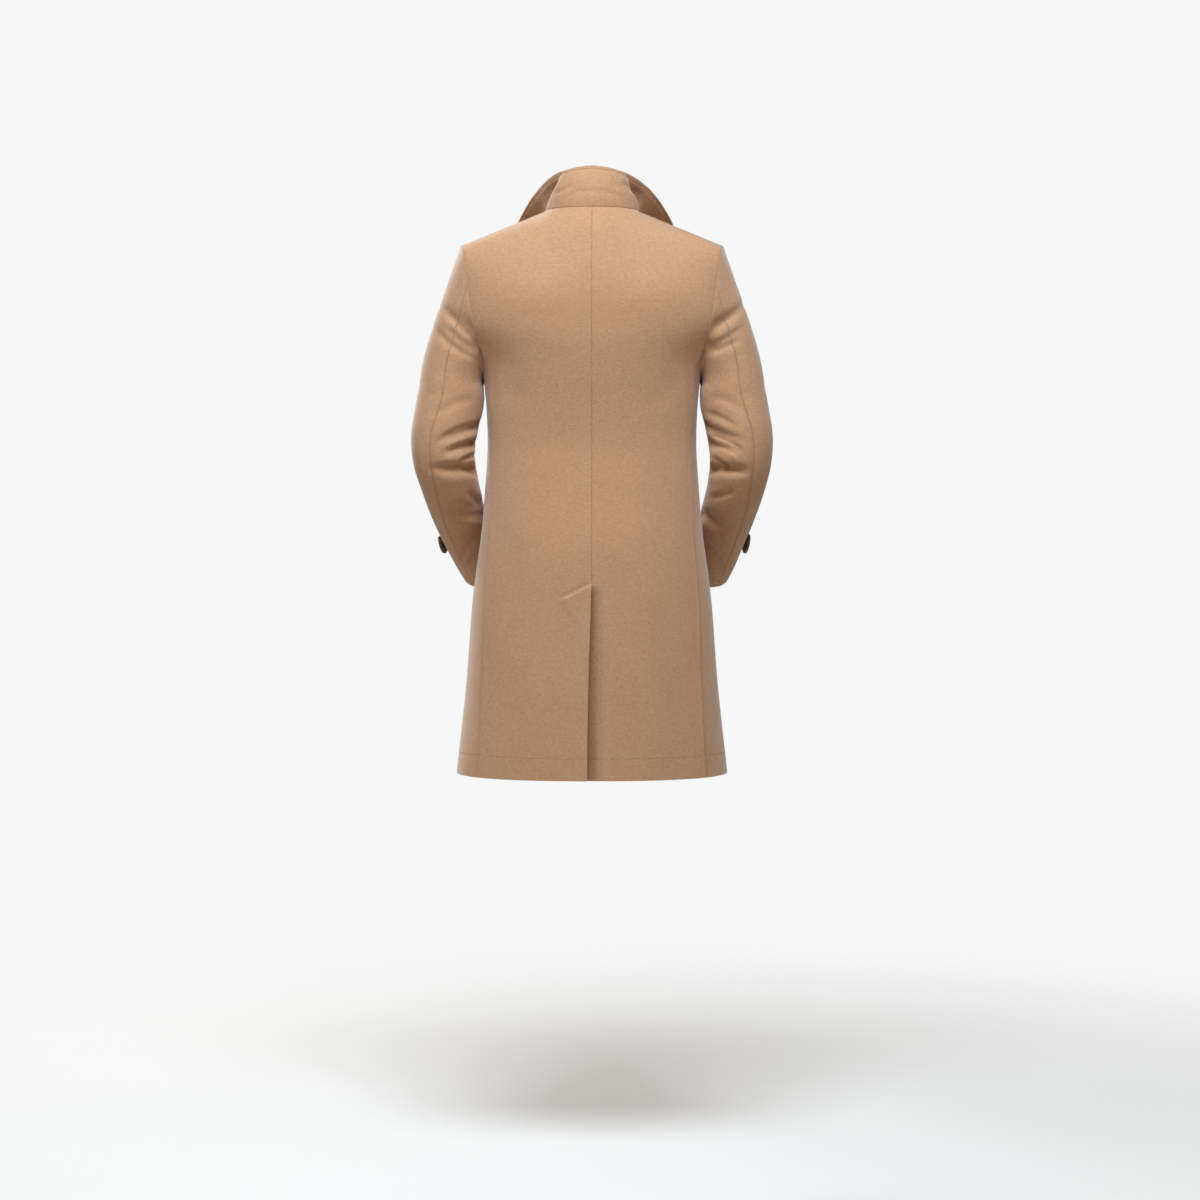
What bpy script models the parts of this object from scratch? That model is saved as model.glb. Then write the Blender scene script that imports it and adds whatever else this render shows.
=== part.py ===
"""Double-breasted wool coat, worn shape with nobody in it: every panel is a wall of cloth.

Metres, +Z up. The front of the coat faces -Y and its left side is +X. The origin lies inside the
collar, level with the collar seam at the centre back, where the wearer's neck and shoulders hold it.
"""

import math
from collections import namedtuple

import bmesh
import bpy
import numpy as np
from mathutils import Vector

# Cloth
CLOTH = 0.003            # one layer of the coat's wool
COLLAR_CLOTH = 0.003     # collar, pressed flat
LAPEL_CLOTH = 0.004      # turned-back front and its facing
SEAM_GAP = 0.0003        # between neighbouring pieces along a seam
LAYER_GAP = 0.0006       # between layers of cloth that lie on each other
BACK_SQUARENESS = 2.3    # exponents of the body's rounded cross-section, behind
FRONT_SQUARENESS = 2.05  # and in front
MOST_MITRE = 2.0         # longest corner of a wall, in wall thicknesses
SAME_SPOT = 1e-6         # points closer than this are one point
ARC_SAMPLES = 240        # points that a level section is read from
CREASE_ANGLE = 40        # degrees between faces that shade as an edge

# Body below the armholes: one row for each level section
Section = namedtuple("Section", "height half_width back_depth front_depth seam_share rows_above")
BODY = [
    Section(-0.952, 0.2305, 0.168, 0.170, 0.826, 3),   # hem
    Section(-0.800, 0.2150, 0.156, 0.160, 0.850, 3),
    Section(-0.650, 0.2025, 0.143, 0.150, 0.880, 1),   # top of the vent's underlap
    Section(-0.627, 0.1995, 0.141, 0.149, 0.885, 2),   # vent opens
    Section(-0.550, 0.1885, 0.132, 0.138, 0.905, 2),
    Section(-0.470, 0.1815, 0.117, 0.130, 0.925, 2),
    Section(-0.390, 0.1770, 0.108, 0.125, 0.940, 1),   # waist
    Section(-0.340, 0.1785, 0.110, 0.128, 0.955, 2),   # lapel breaks
    Section(-0.270, 0.1850, 0.118, 0.132, 0.975, 2),   # underarm
]
SIDE_FRONT_SHARE = 0.930   # where the front armhole meets the underarm, as a share of the half width

# Body beside the armholes: the panel stops at the armhole, short of the section's own half width
Yoke = namedtuple("Yoke", "height half_width depth armhole_x rows_above")
BACK_YOKE = [
    Yoke(-0.200, 0.232, 0.124, 0.196, 2),
    Yoke(-0.130, 0.238, 0.121, 0.207, 2),
]
FRONT_YOKE = [
    Yoke(-0.200, 0.208, 0.136, 0.180, 2),
    Yoke(-0.130, 0.212, 0.130, 0.188, 2),
]
SHOULDER_ROWS = 3          # rows from the shoulder's curve to the shoulder seam
SHOULDER_REACH = 0.150     # cloth from the last yoke section over the curve to the shoulder seam
SHOULDER_LIFT = (0.62, 0.73, 0.82)   # how far up, and
SHOULDER_DRAW = (0.42, 0.42, 0.31)   # how far in, the cloth is half way over the shoulder: at the centre,
                                     # the neck point and the shoulder tip
NECK_SOFTENING = 8         # passes that round off the neck's corner there

# Neck and shoulders
NECK_BACK = Vector((0.0, 0.074, 0.0))          # centre back of the collar seam
NECK_POINT = Vector((0.079, 0.004, -0.002))    # collar end of the shoulder seam
SHOULDER_TIP = Vector((0.2225, 0.0, -0.060))   # sleeve end of the shoulder seam
ROLL_TOP = Vector((0.078, -0.050, -0.022))     # where lapel and collar turn over
ARMHOLE_DIP = 0.013                            # underarm below the ends of its two seams

# Columns of cloth across each stretch
SHOULDER_COLUMNS = 7
NECK_BACK_COLUMNS = 6
NECK_FRONT_COLUMNS = 5
SIDE_COLUMNS = 6

# Double-breasted front
OVERLAP = 0.085            # each front edge past the centre
OVERLAP_BLEND = 0.065      # the upper front eases back to the body over this
CROSSING = -0.175          # height where the two roll lines cross, and
CROSSING_BLEND = 0.10      # the left front settles on the body over this, above it
LAPEL_MARGIN = 0.07        # the left front starts to rise this far below the right lapel, and
LAPEL_MARGIN_BLEND = 0.05  # has risen over this
VENT_UNDERLAP = 0.048
VENT_COLUMNS = 3
VENT_BLEND = 0.030         # the under side of the vent sinks over this width
VENT_SWING = 0.008         # the vent's edge hangs this far off the centre at the hem, and
VENT_SWING_WIDTH = 0.060   # the cloth beside it follows over this

# Lapels, measured from the roll line along the chest
Lapel = namedtuple("Lapel", "climb width")
LAPEL = [
    Lapel(0.00, 0.004),
    Lapel(0.25, 0.044),
    Lapel(0.50, 0.076),
    Lapel(0.75, 0.098),
    Lapel(1.00, 0.104),
]
LAPEL_TOP_ROW = 6.8        # rows of the front above the underarm that the lapel climbs
LAPEL_PEAK_ROWS = -0.8     # how many rows its point stands above the gorge, or below if less than 0
LAPEL_COLUMNS = 7
LAPEL_ROWS = 14
LAPEL_LIFT = 0.0034        # the lapel's spring off the chest

# Collar turned up at the back: outer edge from centre back to its front end
Edge = namedtuple("Edge", "along x y z swell")
COLLAR_EDGE = [
    Edge(0.00, 0.000, 0.060, 0.0700, 0.004),
    Edge(0.22, 0.041, 0.048, 0.0645, 0.004),
    Edge(0.40, 0.068, 0.020, 0.0560, 0.002),
    Edge(0.55, 0.091, -0.012, 0.0400, -0.002),
    Edge(0.72, 0.115, -0.045, 0.0120, -0.006),
    Edge(0.86, 0.134, -0.077, -0.0220, -0.008),
    Edge(1.00, 0.145, -0.104, -0.0600, -0.008),
]
COLLAR_ROWS = 6
WING_SPREAD = {1: 0.97, -1: 1.05}   # the right wing stands a little wider
WING_START = 0.35                   # share of the collar where the wings begin, and
WING_BLEND = 0.20                   # the share over which they take their spread

# Sleeve, from below the armhole to the cuff
Ring = namedtuple("Ring", "x y z across deep back_seam front_seam right_swing rows_below")
SLEEVE = [
    Ring(0.2380, 0.004, -0.300, 0.0545, 0.0630, 80, 238, 0.000, 2),   # upper arm
    Ring(0.2396, 0.007, -0.321, 0.0568, 0.0615, 78, 238, 0.000, 2),
    Ring(0.2443, 0.012, -0.345, 0.0560, 0.0600, 76, 238, 0.000, 4),
    Ring(0.2510, 0.018, -0.385, 0.0550, 0.0580, 70, 240, 0.000, 4),   # above the elbow
    Ring(0.2505, 0.016, -0.420, 0.0525, 0.0560, 66, 240, 0.001, 4),   # elbow
    Ring(0.2435, 0.000, -0.455, 0.0495, 0.0535, 62, 240, 0.0035, 3),
    Ring(0.2295, -0.047, -0.508, 0.0465, 0.0510, 56, 240, 0.005, 3),  # forearm
    Ring(0.2095, -0.100, -0.560, 0.0445, 0.0490, 50, 240, 0.0085, 2),
    Ring(0.1940, -0.134, -0.593, 0.0440, 0.0475, 46, 240, 0.0125, 1),
    Ring(0.1862, -0.149, -0.607, 0.0440, 0.0475, 44, 240, 0.014, 0),  # cuff
]
AXIS_STEP = 0.002                       # the axis is read this far either side of a ring
CAP_ROWS = 8
CAP_LEAD = Vector((0.28, 0.0, -0.96))   # the way the sleeve leaves the armhole
CAP_PULL = 0.9                          # how strongly it keeps to that way
BACK_SEAM_COLUMN = 5                    # columns from the shoulder tip down the back armhole
FRONT_SEAM_LIFT = 2                     # columns above the underarm on the front armhole

# Folds of the sleeve, on its back and inner side: from one height and angle to another
Fold = namedtuple("Fold", "height angle end_height end_angle half_width depth")
SLEEVE_FOLDS = [
    Fold(-0.168, 48, -0.205, 105, 0.011, 0.0050),
    Fold(-0.192, 45, -0.232, 110, 0.011, 0.0050),
    Fold(-0.392, 84, -0.362, 172, 0.010, 0.0060),
    Fold(-0.411, 92, -0.392, 172, 0.009, 0.0060),
    Fold(-0.440, 70, -0.438, 165, 0.011, 0.0075),
    Fold(-0.522, 92, -0.514, 165, 0.010, 0.0035),
]
FOLD_RIDGE = 0.6           # how strongly the cloth swells beside each fold

# Pockets and buttons
WELT_TOP = (0.112, -0.575)       # centre line of the slanted welt, x and height
WELT_FOOT = (0.140, -0.745)
WELT_WIDTH = 0.036
WELT_CLOTH = 0.0035
WELT_LIFT = 0.0012
WELT_ROWS = 8
WELT_COLUMNS = 3
BUTTON_ROWS = (-0.365, -0.480, -0.595)
BUTTON_ROW_X = 0.066
BUTTON_RADIUS = 0.0175
BUTTON_THICK = 0.0065
BUTTON_RIM = 0.0035
BUTTON_DISH = 0.0016
BUTTON_SIDES = 24
BUTTON_SHANK = 0.0018      # thread between button and cloth
BUTTON_FOOT = 0.72         # flat under side, as a share of the radius
BUTTON_WAIST = 0.45        # widest level, as a share of the thickness
BUTTON_LIP = 0.96          # top of the rim, as a share of the radius
CUFF_BUTTON_HEIGHT = -0.572
CUFF_BUTTON_ANGLE = -14

CAMEL = (0.46, 0.27, 0.145, 1.0)
CAMEL_SHADE = (0.43, 0.25, 0.135, 1.0)
HORN = (0.055, 0.026, 0.015, 1.0)


def material(name, colour, roughness):
    made = bpy.data.materials.new(name)
    made.use_nodes = True
    shader = made.node_tree.nodes["Principled BSDF"]
    shader.inputs["Base Color"].default_value = colour
    shader.inputs["Roughness"].default_value = roughness
    shader.inputs["Metallic"].default_value = 0.0
    return made


# Curves and tables

def smooth(knots, values, at):
    """Smooth curve through values at knots, read at one place or several."""
    knots = np.asarray(knots, float)
    values = np.asarray(values, float)
    at = np.clip(np.atleast_1d(np.asarray(at, float)), knots[0], knots[-1])
    steps = np.diff(knots)
    shape = (-1,) + (1,) * (values.ndim - 1)
    slopes = np.diff(values, axis=0) / steps.reshape(shape)
    before, after = steps[:-1].reshape(shape), steps[1:].reshape(shape)
    inner = (slopes[:-1] * after + slopes[1:] * before) / (before + after)
    tangents = np.concatenate([slopes[:1], inner, slopes[-1:]])
    span = np.clip(np.searchsorted(knots, at, "right") - 1, 0, len(steps) - 1)
    width = steps[span].reshape(shape)
    share = ((at - knots[span]) / steps[span]).reshape(shape)
    square, cube = share**2, share**3
    return (
        (2 * cube - 3 * square + 1) * values[span]
        + (cube - 2 * square + share) * width * tangents[span]
        + (3 * square - 2 * cube) * values[span + 1]
        + (cube - square) * width * tangents[span + 1]
    )


def ease(share):
    share = min(max(share, 0.0), 1.0)
    return share * share * (3 - 2 * share)


def table_column(table, name):
    return [getattr(row, name) for row in table]


def evenly(points, count):
    """count + 1 points at equal distances along a line of points."""
    lengths = np.linalg.norm(np.diff(points, axis=0), axis=1)
    walked = np.concatenate([[0.0], np.cumsum(lengths)])
    wanted = np.linspace(0.0, walked[-1], count + 1)
    return np.stack([np.interp(wanted, walked, points[:, axis]) for axis in range(3)], axis=1)


def rows_between(stations, rows_above):
    """Rows of points on the smooth surface through the stations, rows_above[i] steps after station i."""
    stations = np.asarray(stations)
    levels = table_column(BODY, "height") + table_column(BACK_YOKE, "height")
    knots = levels + [levels[-1] + SHOULDER_REACH / 2, levels[-1] + SHOULDER_REACH]
    knots = knots[: len(stations)]
    wanted = knots[:1]
    for start, stop, rows in zip(knots[:-1], knots[1:], rows_above):
        wanted += list(np.linspace(start, stop, rows + 1)[1:])
    return smooth(knots, stations, wanted)


# Body sections

def ring_angle(share, squareness):
    """Angle on a section where x is this share of the half width, from the side to the back or front."""
    if share < 0:
        return math.pi - ring_angle(-share, squareness)
    return math.acos(share ** (squareness / 2))


def ring_arc(height, half_width, depth_back, depth_front, start, stop, count):
    """Points along one level section between two angles: 0 is the left side, 90 degrees the back."""
    angles = np.linspace(start, stop, ARC_SAMPLES)
    across, deep = np.cos(angles), np.sin(angles)
    power = 2 / np.where(deep > 0, BACK_SQUARENESS, FRONT_SQUARENESS)
    x = half_width * np.sign(across) * np.abs(across) ** power
    y = np.where(deep > 0, depth_back, depth_front) * np.sign(deep) * np.abs(deep) ** power
    return evenly(np.stack([x, y, np.full_like(x, height)], axis=1), count)


def line(start, stop, count):
    shares = np.linspace(0.0, 1.0, count + 1)[:, None]
    return np.asarray(start) * (1 - shares) + np.asarray(stop) * shares


def back_neckline():
    """Collar seam from the centre back to the shoulder seam."""
    turn = np.linspace(0.0, math.pi / 2, NECK_BACK_COLUMNS + 1)
    x = NECK_POINT.x * np.sin(turn)
    y = NECK_POINT.y + (NECK_BACK.y - NECK_POINT.y) * np.cos(turn)
    z = NECK_BACK.z + (NECK_POINT.z - NECK_BACK.z) * (1 - np.cos(turn))
    return np.stack([x, y, z], axis=1)


def front_neckline():
    """Collar seam from the shoulder seam to the top of the roll line."""
    shares = np.linspace(0.0, 1.0, NECK_FRONT_COLUMNS + 1)
    x = NECK_POINT.x + (ROLL_TOP.x - NECK_POINT.x) * shares
    y = NECK_POINT.y + (ROLL_TOP.y - NECK_POINT.y) * shares
    z = NECK_POINT.z + (ROLL_TOP.z - NECK_POINT.z) * shares**1.5
    return np.stack([x, y, z], axis=1)


def shoulder_bulge(lower, upper, spots, order):
    """Section half way over the shoulder, rounder towards the tip and without the neck's corner."""
    upper = upper.copy()
    for _ in range(NECK_SOFTENING):
        upper[1:-1] += (upper[:-2] + upper[2:] - 2 * upper[1:-1]) / 4
    middle = lower + (upper - lower) * 0.5
    columns = np.arange(len(upper))
    draw = np.interp(columns, spots, SHOULDER_DRAW[::order])
    lift = np.interp(columns, spots, SHOULDER_LIFT[::order])
    middle[:, 1] = lower[:, 1] + (upper[:, 1] - lower[:, 1]) * draw
    middle[:, 2] = lower[:, 2] + (upper[:, 2] - lower[:, 2]) * lift
    return middle


def roll_line_x(height):
    """Left front edge: straight below the break, slanting to the neck above it."""
    break_height = BODY[-2].height
    climb = (height - break_height) / (ROLL_TOP.z - break_height)
    return -OVERLAP + (ROLL_TOP.x + OVERLAP) * max(climb, 0.0)


def back_panel():
    """Left back from the centre seam to the side seam and armhole, hem first."""
    columns = NECK_BACK_COLUMNS + SHOULDER_COLUMNS
    stations = []
    for row in BODY:
        stop = ring_angle(row.seam_share, BACK_SQUARENESS)
        stations.append(ring_arc(row.height, row.half_width, row.back_depth, row.front_depth,
                                 math.pi / 2, stop, columns))
    for row in BACK_YOKE:
        stop = ring_angle(row.armhole_x / row.half_width, BACK_SQUARENESS)
        stations.append(ring_arc(row.height, row.half_width, row.depth, row.depth,
                                 math.pi / 2, stop, columns))
    seam = line(NECK_POINT, SHOULDER_TIP, SHOULDER_COLUMNS)
    top = np.concatenate([back_neckline(), seam[1:]])
    stations += [shoulder_bulge(stations[-1], top, (0, NECK_BACK_COLUMNS, columns), 1), top]
    rows = table_column(BODY, "rows_above") + table_column(BACK_YOKE, "rows_above") + [SHOULDER_ROWS]
    return rows_between(stations, rows)


def side_of_front(back, front):
    """Left side from the side seam round to below the front armhole, up to the underarm."""
    stations = []
    for row in BODY:
        start = ring_angle(row.seam_share, BACK_SQUARENESS)
        stop = -ring_angle(SIDE_FRONT_SHARE, FRONT_SQUARENESS)
        stations.append(ring_arc(row.height, row.half_width, row.back_depth, row.front_depth,
                                 start, stop, SIDE_COLUMNS))
    grid = rows_between(stations, table_column(BODY, "rows_above")[:-1])
    grid[-1, :, 2] -= ARMHOLE_DIP * np.sin(np.linspace(0.0, math.pi, SIDE_COLUMNS + 1))
    grid[:, 0] = back[: UNDERARM_ROW + 1, -1]
    grid[:, -1] = front[: UNDERARM_ROW + 1, 0]
    return grid


def front_panel():
    """Left front from the armhole to the front edge and roll line, hem first."""
    columns = SHOULDER_COLUMNS + NECK_FRONT_COLUMNS
    stations = []
    for row in BODY:
        start = -ring_angle(SIDE_FRONT_SHARE, FRONT_SQUARENESS)
        stop = -ring_angle(roll_line_x(row.height) / row.half_width, FRONT_SQUARENESS)
        stations.append(ring_arc(row.height, row.half_width, row.back_depth, row.front_depth,
                                 start, stop, columns))
    for row in FRONT_YOKE:
        start = -ring_angle(row.armhole_x / row.half_width, FRONT_SQUARENESS)
        stop = -ring_angle(roll_line_x(row.height) / row.half_width, FRONT_SQUARENESS)
        stations.append(ring_arc(row.height, row.half_width, row.depth, row.depth,
                                 start, stop, columns))
    seam = line(SHOULDER_TIP, NECK_POINT, SHOULDER_COLUMNS)
    top = np.concatenate([seam, front_neckline()[1:]])
    stations += [shoulder_bulge(stations[-1], top, (0, SHOULDER_COLUMNS, columns), -1), top]
    rows = table_column(BODY, "rows_above") + table_column(FRONT_YOKE, "rows_above") + [SHOULDER_ROWS]
    return rows_between(stations, rows)


UNDERARM_ROW = sum(table_column(BODY, "rows_above")[:-1])
BREAK_ROW = UNDERARM_ROW - BODY[-2].rows_above
UNDERLAP_ROW = BODY[0].rows_above + BODY[1].rows_above
ARMHOLE_ROWS = BODY[-1].rows_above + sum(table_column(BACK_YOKE, "rows_above")) + SHOULDER_ROWS


# Sleeve

def armhole_loop(back, side, front):
    """Points round the left armhole: shoulder tip, down the back, underarm, up the front."""
    down = back[::-1, -1][: len(back) - UNDERARM_ROW]
    under = side[-1, 1:]
    up = front[UNDERARM_ROW + 1:-1, 0]
    return np.concatenate([down, under, up])


def fold_depth(height, angle, radius):
    """How far the sleeve's folds push the cloth in at this height and angle."""
    pushed = 0.0
    for fold in SLEEVE_FOLDS:
        start = np.array([fold.height, math.radians(fold.angle) * radius])
        run = np.array([fold.end_height, math.radians(fold.end_angle) * radius]) - start
        away = np.array([height, angle * radius]) - start
        along = float(away @ run / (run @ run))
        nearest = min(max(along, 0.0), 1.0)
        distance = np.linalg.norm(away - run * nearest) / fold.half_width
        pushed += fold.depth * (1 - FOLD_RIDGE * distance**2) * math.exp(-(distance**2))
    return pushed


def sleeve_rings():
    """Centres, axes, sizes and seam angles of the sleeve's rings from the upper arm to the cuff."""
    table = np.array([list(ring[:-1]) for ring in SLEEVE])
    run = np.concatenate([[0.0], np.cumsum(np.linalg.norm(np.diff(table[:, :3], axis=0), axis=1))])
    wanted = [0.0]
    for index, ring in enumerate(SLEEVE[:-1]):
        wanted += list(np.linspace(run[index], run[index + 1], ring.rows_below + 1)[1:])
    read = smooth(run, table, wanted)
    ahead = smooth(run, table[:, :3], np.array(wanted) + AXIS_STEP)
    ways = ahead - smooth(run, table[:, :3], np.array(wanted) - AXIS_STEP)
    return read, ways / np.linalg.norm(ways, axis=1, keepdims=True)


def ring_angles(back_seam, front_seam, back_column, front_column, count):
    """Angle of each column round a ring: outside 0, back 90, inside 180, front 270 degrees."""
    anchors = [0, back_column, (back_column + front_column) / 2, front_column, count]
    degrees = [0.0, back_seam, (back_seam + front_seam) / 2, front_seam, 360.0]
    return np.radians(np.interp(np.arange(count), anchors, degrees))


def sleeve_grid(loop, swing):
    """Rows of points of a whole left sleeve from the armhole loop to the cuff, swung out by a share."""
    count = len(loop)
    read, ways = sleeve_rings()
    front_column = count - ARMHOLE_ROWS + FRONT_SEAM_LIFT
    rings = []
    for (x, y, z, across, deep, back_seam, front_seam, out), way in zip(read, ways):
        backward = np.array([0.0, 1.0, 0.0]) - way * way[1]
        backward /= np.linalg.norm(backward)
        outward = np.cross(way, backward)
        points = []
        for angle in ring_angles(back_seam, front_seam, BACK_SEAM_COLUMN, front_column, count):
            radial = outward * math.cos(angle) * across + backward * math.sin(angle) * deep
            point = np.array([x + out * swing, y, z]) + radial
            inward = fold_depth(point[2], angle, across)
            points.append(point - radial / np.linalg.norm(radial) * inward)
        rings.append(points)
    rings = np.array(rings)
    cap = []
    for row in range(CAP_ROWS):
        share = row / CAP_ROWS
        square, cube = share**2, share**3
        points = []
        for column in range(count):
            start, stop = loop[column], rings[0, column]
            reach = np.linalg.norm(stop - start)
            lead = np.array(CAP_LEAD) * reach * CAP_PULL
            landing = ways[0] * reach * CAP_PULL
            point = (
                (2 * cube - 3 * square + 1) * start + (cube - 2 * square + share) * lead
                + (3 * square - 2 * cube) * stop + (cube - square) * landing
            )
            if row:
                angle = 2 * math.pi * column / count
                middle = loop.mean(axis=0) * (1 - share) + rings[0].mean(axis=0) * share
                inward = (middle - point) / np.linalg.norm(middle - point)
                point = point + inward * fold_depth(point[2], angle, SLEEVE[0].across)
            points.append(point)
        cap.append(points)
    return np.concatenate([np.array(cap), rings])


def columns_of(grid, start, stop):
    """Columns start to stop of a closed grid, past its end if need be."""
    wanted = [index % grid.shape[1] for index in range(start, stop + 1)]
    return grid[:, wanted]


# Layers at the front and the vent

def raise_over(grid, amount):
    """Moves a left front out over the right one where they overlap, and eases it back beyond."""
    raised = grid.copy()
    for row in range(grid.shape[0]):
        for column in range(grid.shape[1]):
            x, y, z = grid[row, column]
            share = 1.0 - ease((x - OVERLAP) / OVERLAP_BLEND)
            raised[row, column, 1] = y - amount(z) * share
    return raised


def overlap_amount(height):
    """Layers under the left front: the right front, and above the break its lapel too."""
    break_height = BODY[-2].height
    lapel = LAPEL_CLOTH + LAPEL_LIFT + 4 * LAYER_GAP
    share = ease((height - break_height + LAPEL_MARGIN) / LAPEL_MARGIN_BLEND)
    settled = ease((height - CROSSING) / CROSSING_BLEND)
    return (CLOTH + 2 * LAYER_GAP + lapel * share) * (1 - settled)


def sink_vent(grid):
    """Right back near the centre, below the vent's top, sinks under the left back."""
    sunk = grid.copy()
    for row in range(UNDERLAP_ROW + 1):
        for column in range(grid.shape[1]):
            share = 1.0 - ease(abs(grid[row, column, 0]) / VENT_BLEND)
            sunk[row, column, 1] -= (CLOTH + LAYER_GAP) * share
    return sunk


def swing_vent(grid):
    """The left back's free edge hangs a little off the centre towards the hem."""
    swung = grid.copy()
    top, foot = BODY[3].height, BODY[0].height
    for row in range(UNDERLAP_ROW + 2):
        for column in range(grid.shape[1]):
            x, y, z = grid[row, column]
            down = ease((top - z) / (top - foot))
            swung[row, column, 0] = x + VENT_SWING * down * max(0.0, 1 - x / VENT_SWING_WIDTH)
    return swung


def vent_underlap(back):
    """Strip of the right back that runs on under the left back, from the centre to its own edge."""
    strip = []
    for row in range(UNDERLAP_ROW + 1):
        edge = back[row, 0].copy()
        edge[1] -= CLOTH + LAYER_GAP
        outer = []
        for column in range(VENT_COLUMNS + 1):
            x = -VENT_UNDERLAP * column / VENT_COLUMNS
            y = np.interp(-x, back[row, :, 0], back[row, :, 1]) - CLOTH - LAYER_GAP
            outer.append([x, y, edge[2]])
        strip.append(outer[::-1])
    return np.array(strip)


# Walls of cloth

def quads_of(grid, side):
    """Faces of a grid as corner points, facing out; side -1 mirrors them to the right."""
    mirror = np.array([side, 1.0, 1.0])
    faces = []
    for row in range(grid.shape[0] - 1):
        for column in range(grid.shape[1] - 1):
            corners = [grid[row, column], grid[row + 1, column],
                       grid[row + 1, column + 1], grid[row, column + 1]]
            corners = [corner * mirror for corner in corners]
            faces.append(corners if side > 0 else corners[::-1])
    return faces


def spot(point):
    return tuple(int(round(value / SAME_SPOT)) for value in point)


def sewn_normals(panels):
    """Normal and mitre at every point, shared by all pieces that meet there."""
    found = {}
    for faces in panels:
        for corners in faces:
            normal = np.cross(corners[2] - corners[0], corners[3] - corners[1])
            size = np.linalg.norm(normal)
            if size < 1e-12:
                continue
            for corner in corners:
                found.setdefault(spot(corner), []).append(normal / size)
    shared = {}
    for place, normals in found.items():
        mean = np.sum(normals, axis=0)
        mean /= np.linalg.norm(mean)
        lean = np.mean([mean @ normal for normal in normals])
        shared[place] = mean, min(1 / max(lean, 0.2), MOST_MITRE)
    return shared


def edge_shifts(faces, normals):
    """Moves of the points on a piece's edges, half a seam gap in from each edge."""
    edges = {}
    for corners in faces:
        for index in range(4):
            start, stop = corners[index], corners[(index + 1) % 4]
            edges[spot(start), spot(stop)] = stop - start
    inward = {}
    for (start, stop), run in edges.items():
        if (stop, start) in edges:
            continue
        for place in (start, stop):
            way = np.cross(normals[place][0], run)
            inward.setdefault(place, []).append(way / np.linalg.norm(way))
    border = [pair for pair in edges if pair[::-1] not in edges]
    shifts = {}
    for place, ways in inward.items():
        total = np.sum(ways, axis=0)
        spread = 1 + ways[0] @ ways[-1] if len(ways) > 1 else 1
        shifts[place] = total / max(spread, 0.3) * SEAM_GAP / 2
    return shifts, border


def cloth_wall(name, faces, thickness, normals, finish):
    """One closed wall: the faces, the same faces a thickness further in, and a rim round the edge."""
    shifts, border = edge_shifts(faces, normals)
    shape = bmesh.new()
    outer, inner = {}, {}
    for corners in faces:
        for corner in corners:
            place = spot(corner)
            if place in outer:
                continue
            normal, mitre = normals[place]
            point = corner + shifts.get(place, np.zeros(3))
            outer[place] = shape.verts.new(point)
            inner[place] = shape.verts.new(point - normal * thickness * mitre)
    for corners in faces:
        places = [spot(corner) for corner in corners]
        shape.faces.new([outer[place] for place in places])
        shape.faces.new([inner[place] for place in reversed(places)])
    for start, stop in border:
        if start < stop:
            shape.faces.new([outer[start], inner[start], inner[stop]])
            shape.faces.new([outer[start], inner[stop], outer[stop]])
        else:
            shape.faces.new([outer[start], inner[start], outer[stop]])
            shape.faces.new([inner[start], inner[stop], outer[stop]])
    return solid(name, shape, finish)


def solid(name, shape, finish):
    for face in shape.faces:
        face.smooth = True
    mesh = bpy.data.meshes.new(name)
    shape.to_mesh(mesh)
    shape.free()
    mesh.set_sharp_from_angle(angle=math.radians(CREASE_ANGLE))
    mesh.materials.append(finish)
    made = bpy.data.objects.new(name, mesh)
    bpy.context.scene.collection.objects.link(made)
    return made


def grid_normals(grid):
    down = np.gradient(grid, axis=0)
    across = np.gradient(grid, axis=1)
    normals = np.cross(down, across)
    return normals / np.linalg.norm(normals, axis=2, keepdims=True)


def read_grid(grid, row, column):
    """Point of a grid at a row and column that may lie between its own."""
    row = min(max(row, 0.0), grid.shape[0] - 1.0)
    column = min(max(column, 0.0), grid.shape[1] - 1.0)
    low, left = min(int(row), grid.shape[0] - 2), min(int(column), grid.shape[1] - 2)
    up, right = row - low, column - left
    lower = grid[low, left] * (1 - right) + grid[low, left + 1] * right
    upper = grid[low + 1, left] * (1 - right) + grid[low + 1, left + 1] * right
    return lower * (1 - up) + upper * up


# Pieces laid on the fronts

def lapel_grid(front):
    """Turned-back front: from the roll line out over the chest, break first."""
    normals = grid_normals(front)
    edge = front.shape[1] - 1
    points = []
    for row in range(LAPEL_ROWS + 1):
        climb = row / LAPEL_ROWS
        width = float(smooth(table_column(LAPEL, "climb"), table_column(LAPEL, "width"), climb)[0])
        height = BREAK_ROW + (UNDERARM_ROW + LAPEL_TOP_ROW - BREAK_ROW) * climb
        level = [read_grid(front, height, column) for column in range(edge + 1)]
        steps = np.linalg.norm(np.diff(level, axis=0), axis=1)[::-1]
        walked = np.concatenate([[0.0], np.cumsum(steps)])
        line_of_points = []
        for column in range(LAPEL_COLUMNS + 1):
            share = column / LAPEL_COLUMNS
            place = edge - np.interp(width * share, walked, np.arange(len(walked)))
            lift = LAPEL_PEAK_ROWS * climb**3 * share**2
            point = read_grid(front, height + lift, place)
            normal = read_grid(normals, height + lift, place)
            line_of_points.append(point + normal / np.linalg.norm(normal) * (LAPEL_CLOTH + LAPEL_LIFT))
        points.append(line_of_points[::-1])
    return np.array(points)


def place_on_front(front, x, height):
    """Row and column of a left front at a place given by x and height, below the underarm."""
    row = np.interp(height, front[: UNDERARM_ROW + 1, -1, 2], np.arange(UNDERARM_ROW + 1))
    level = np.array([read_grid(front, row, column) for column in range(front.shape[1])])
    column = np.interp(-x, -level[:, 0], np.arange(front.shape[1]))
    return row, column


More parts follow.
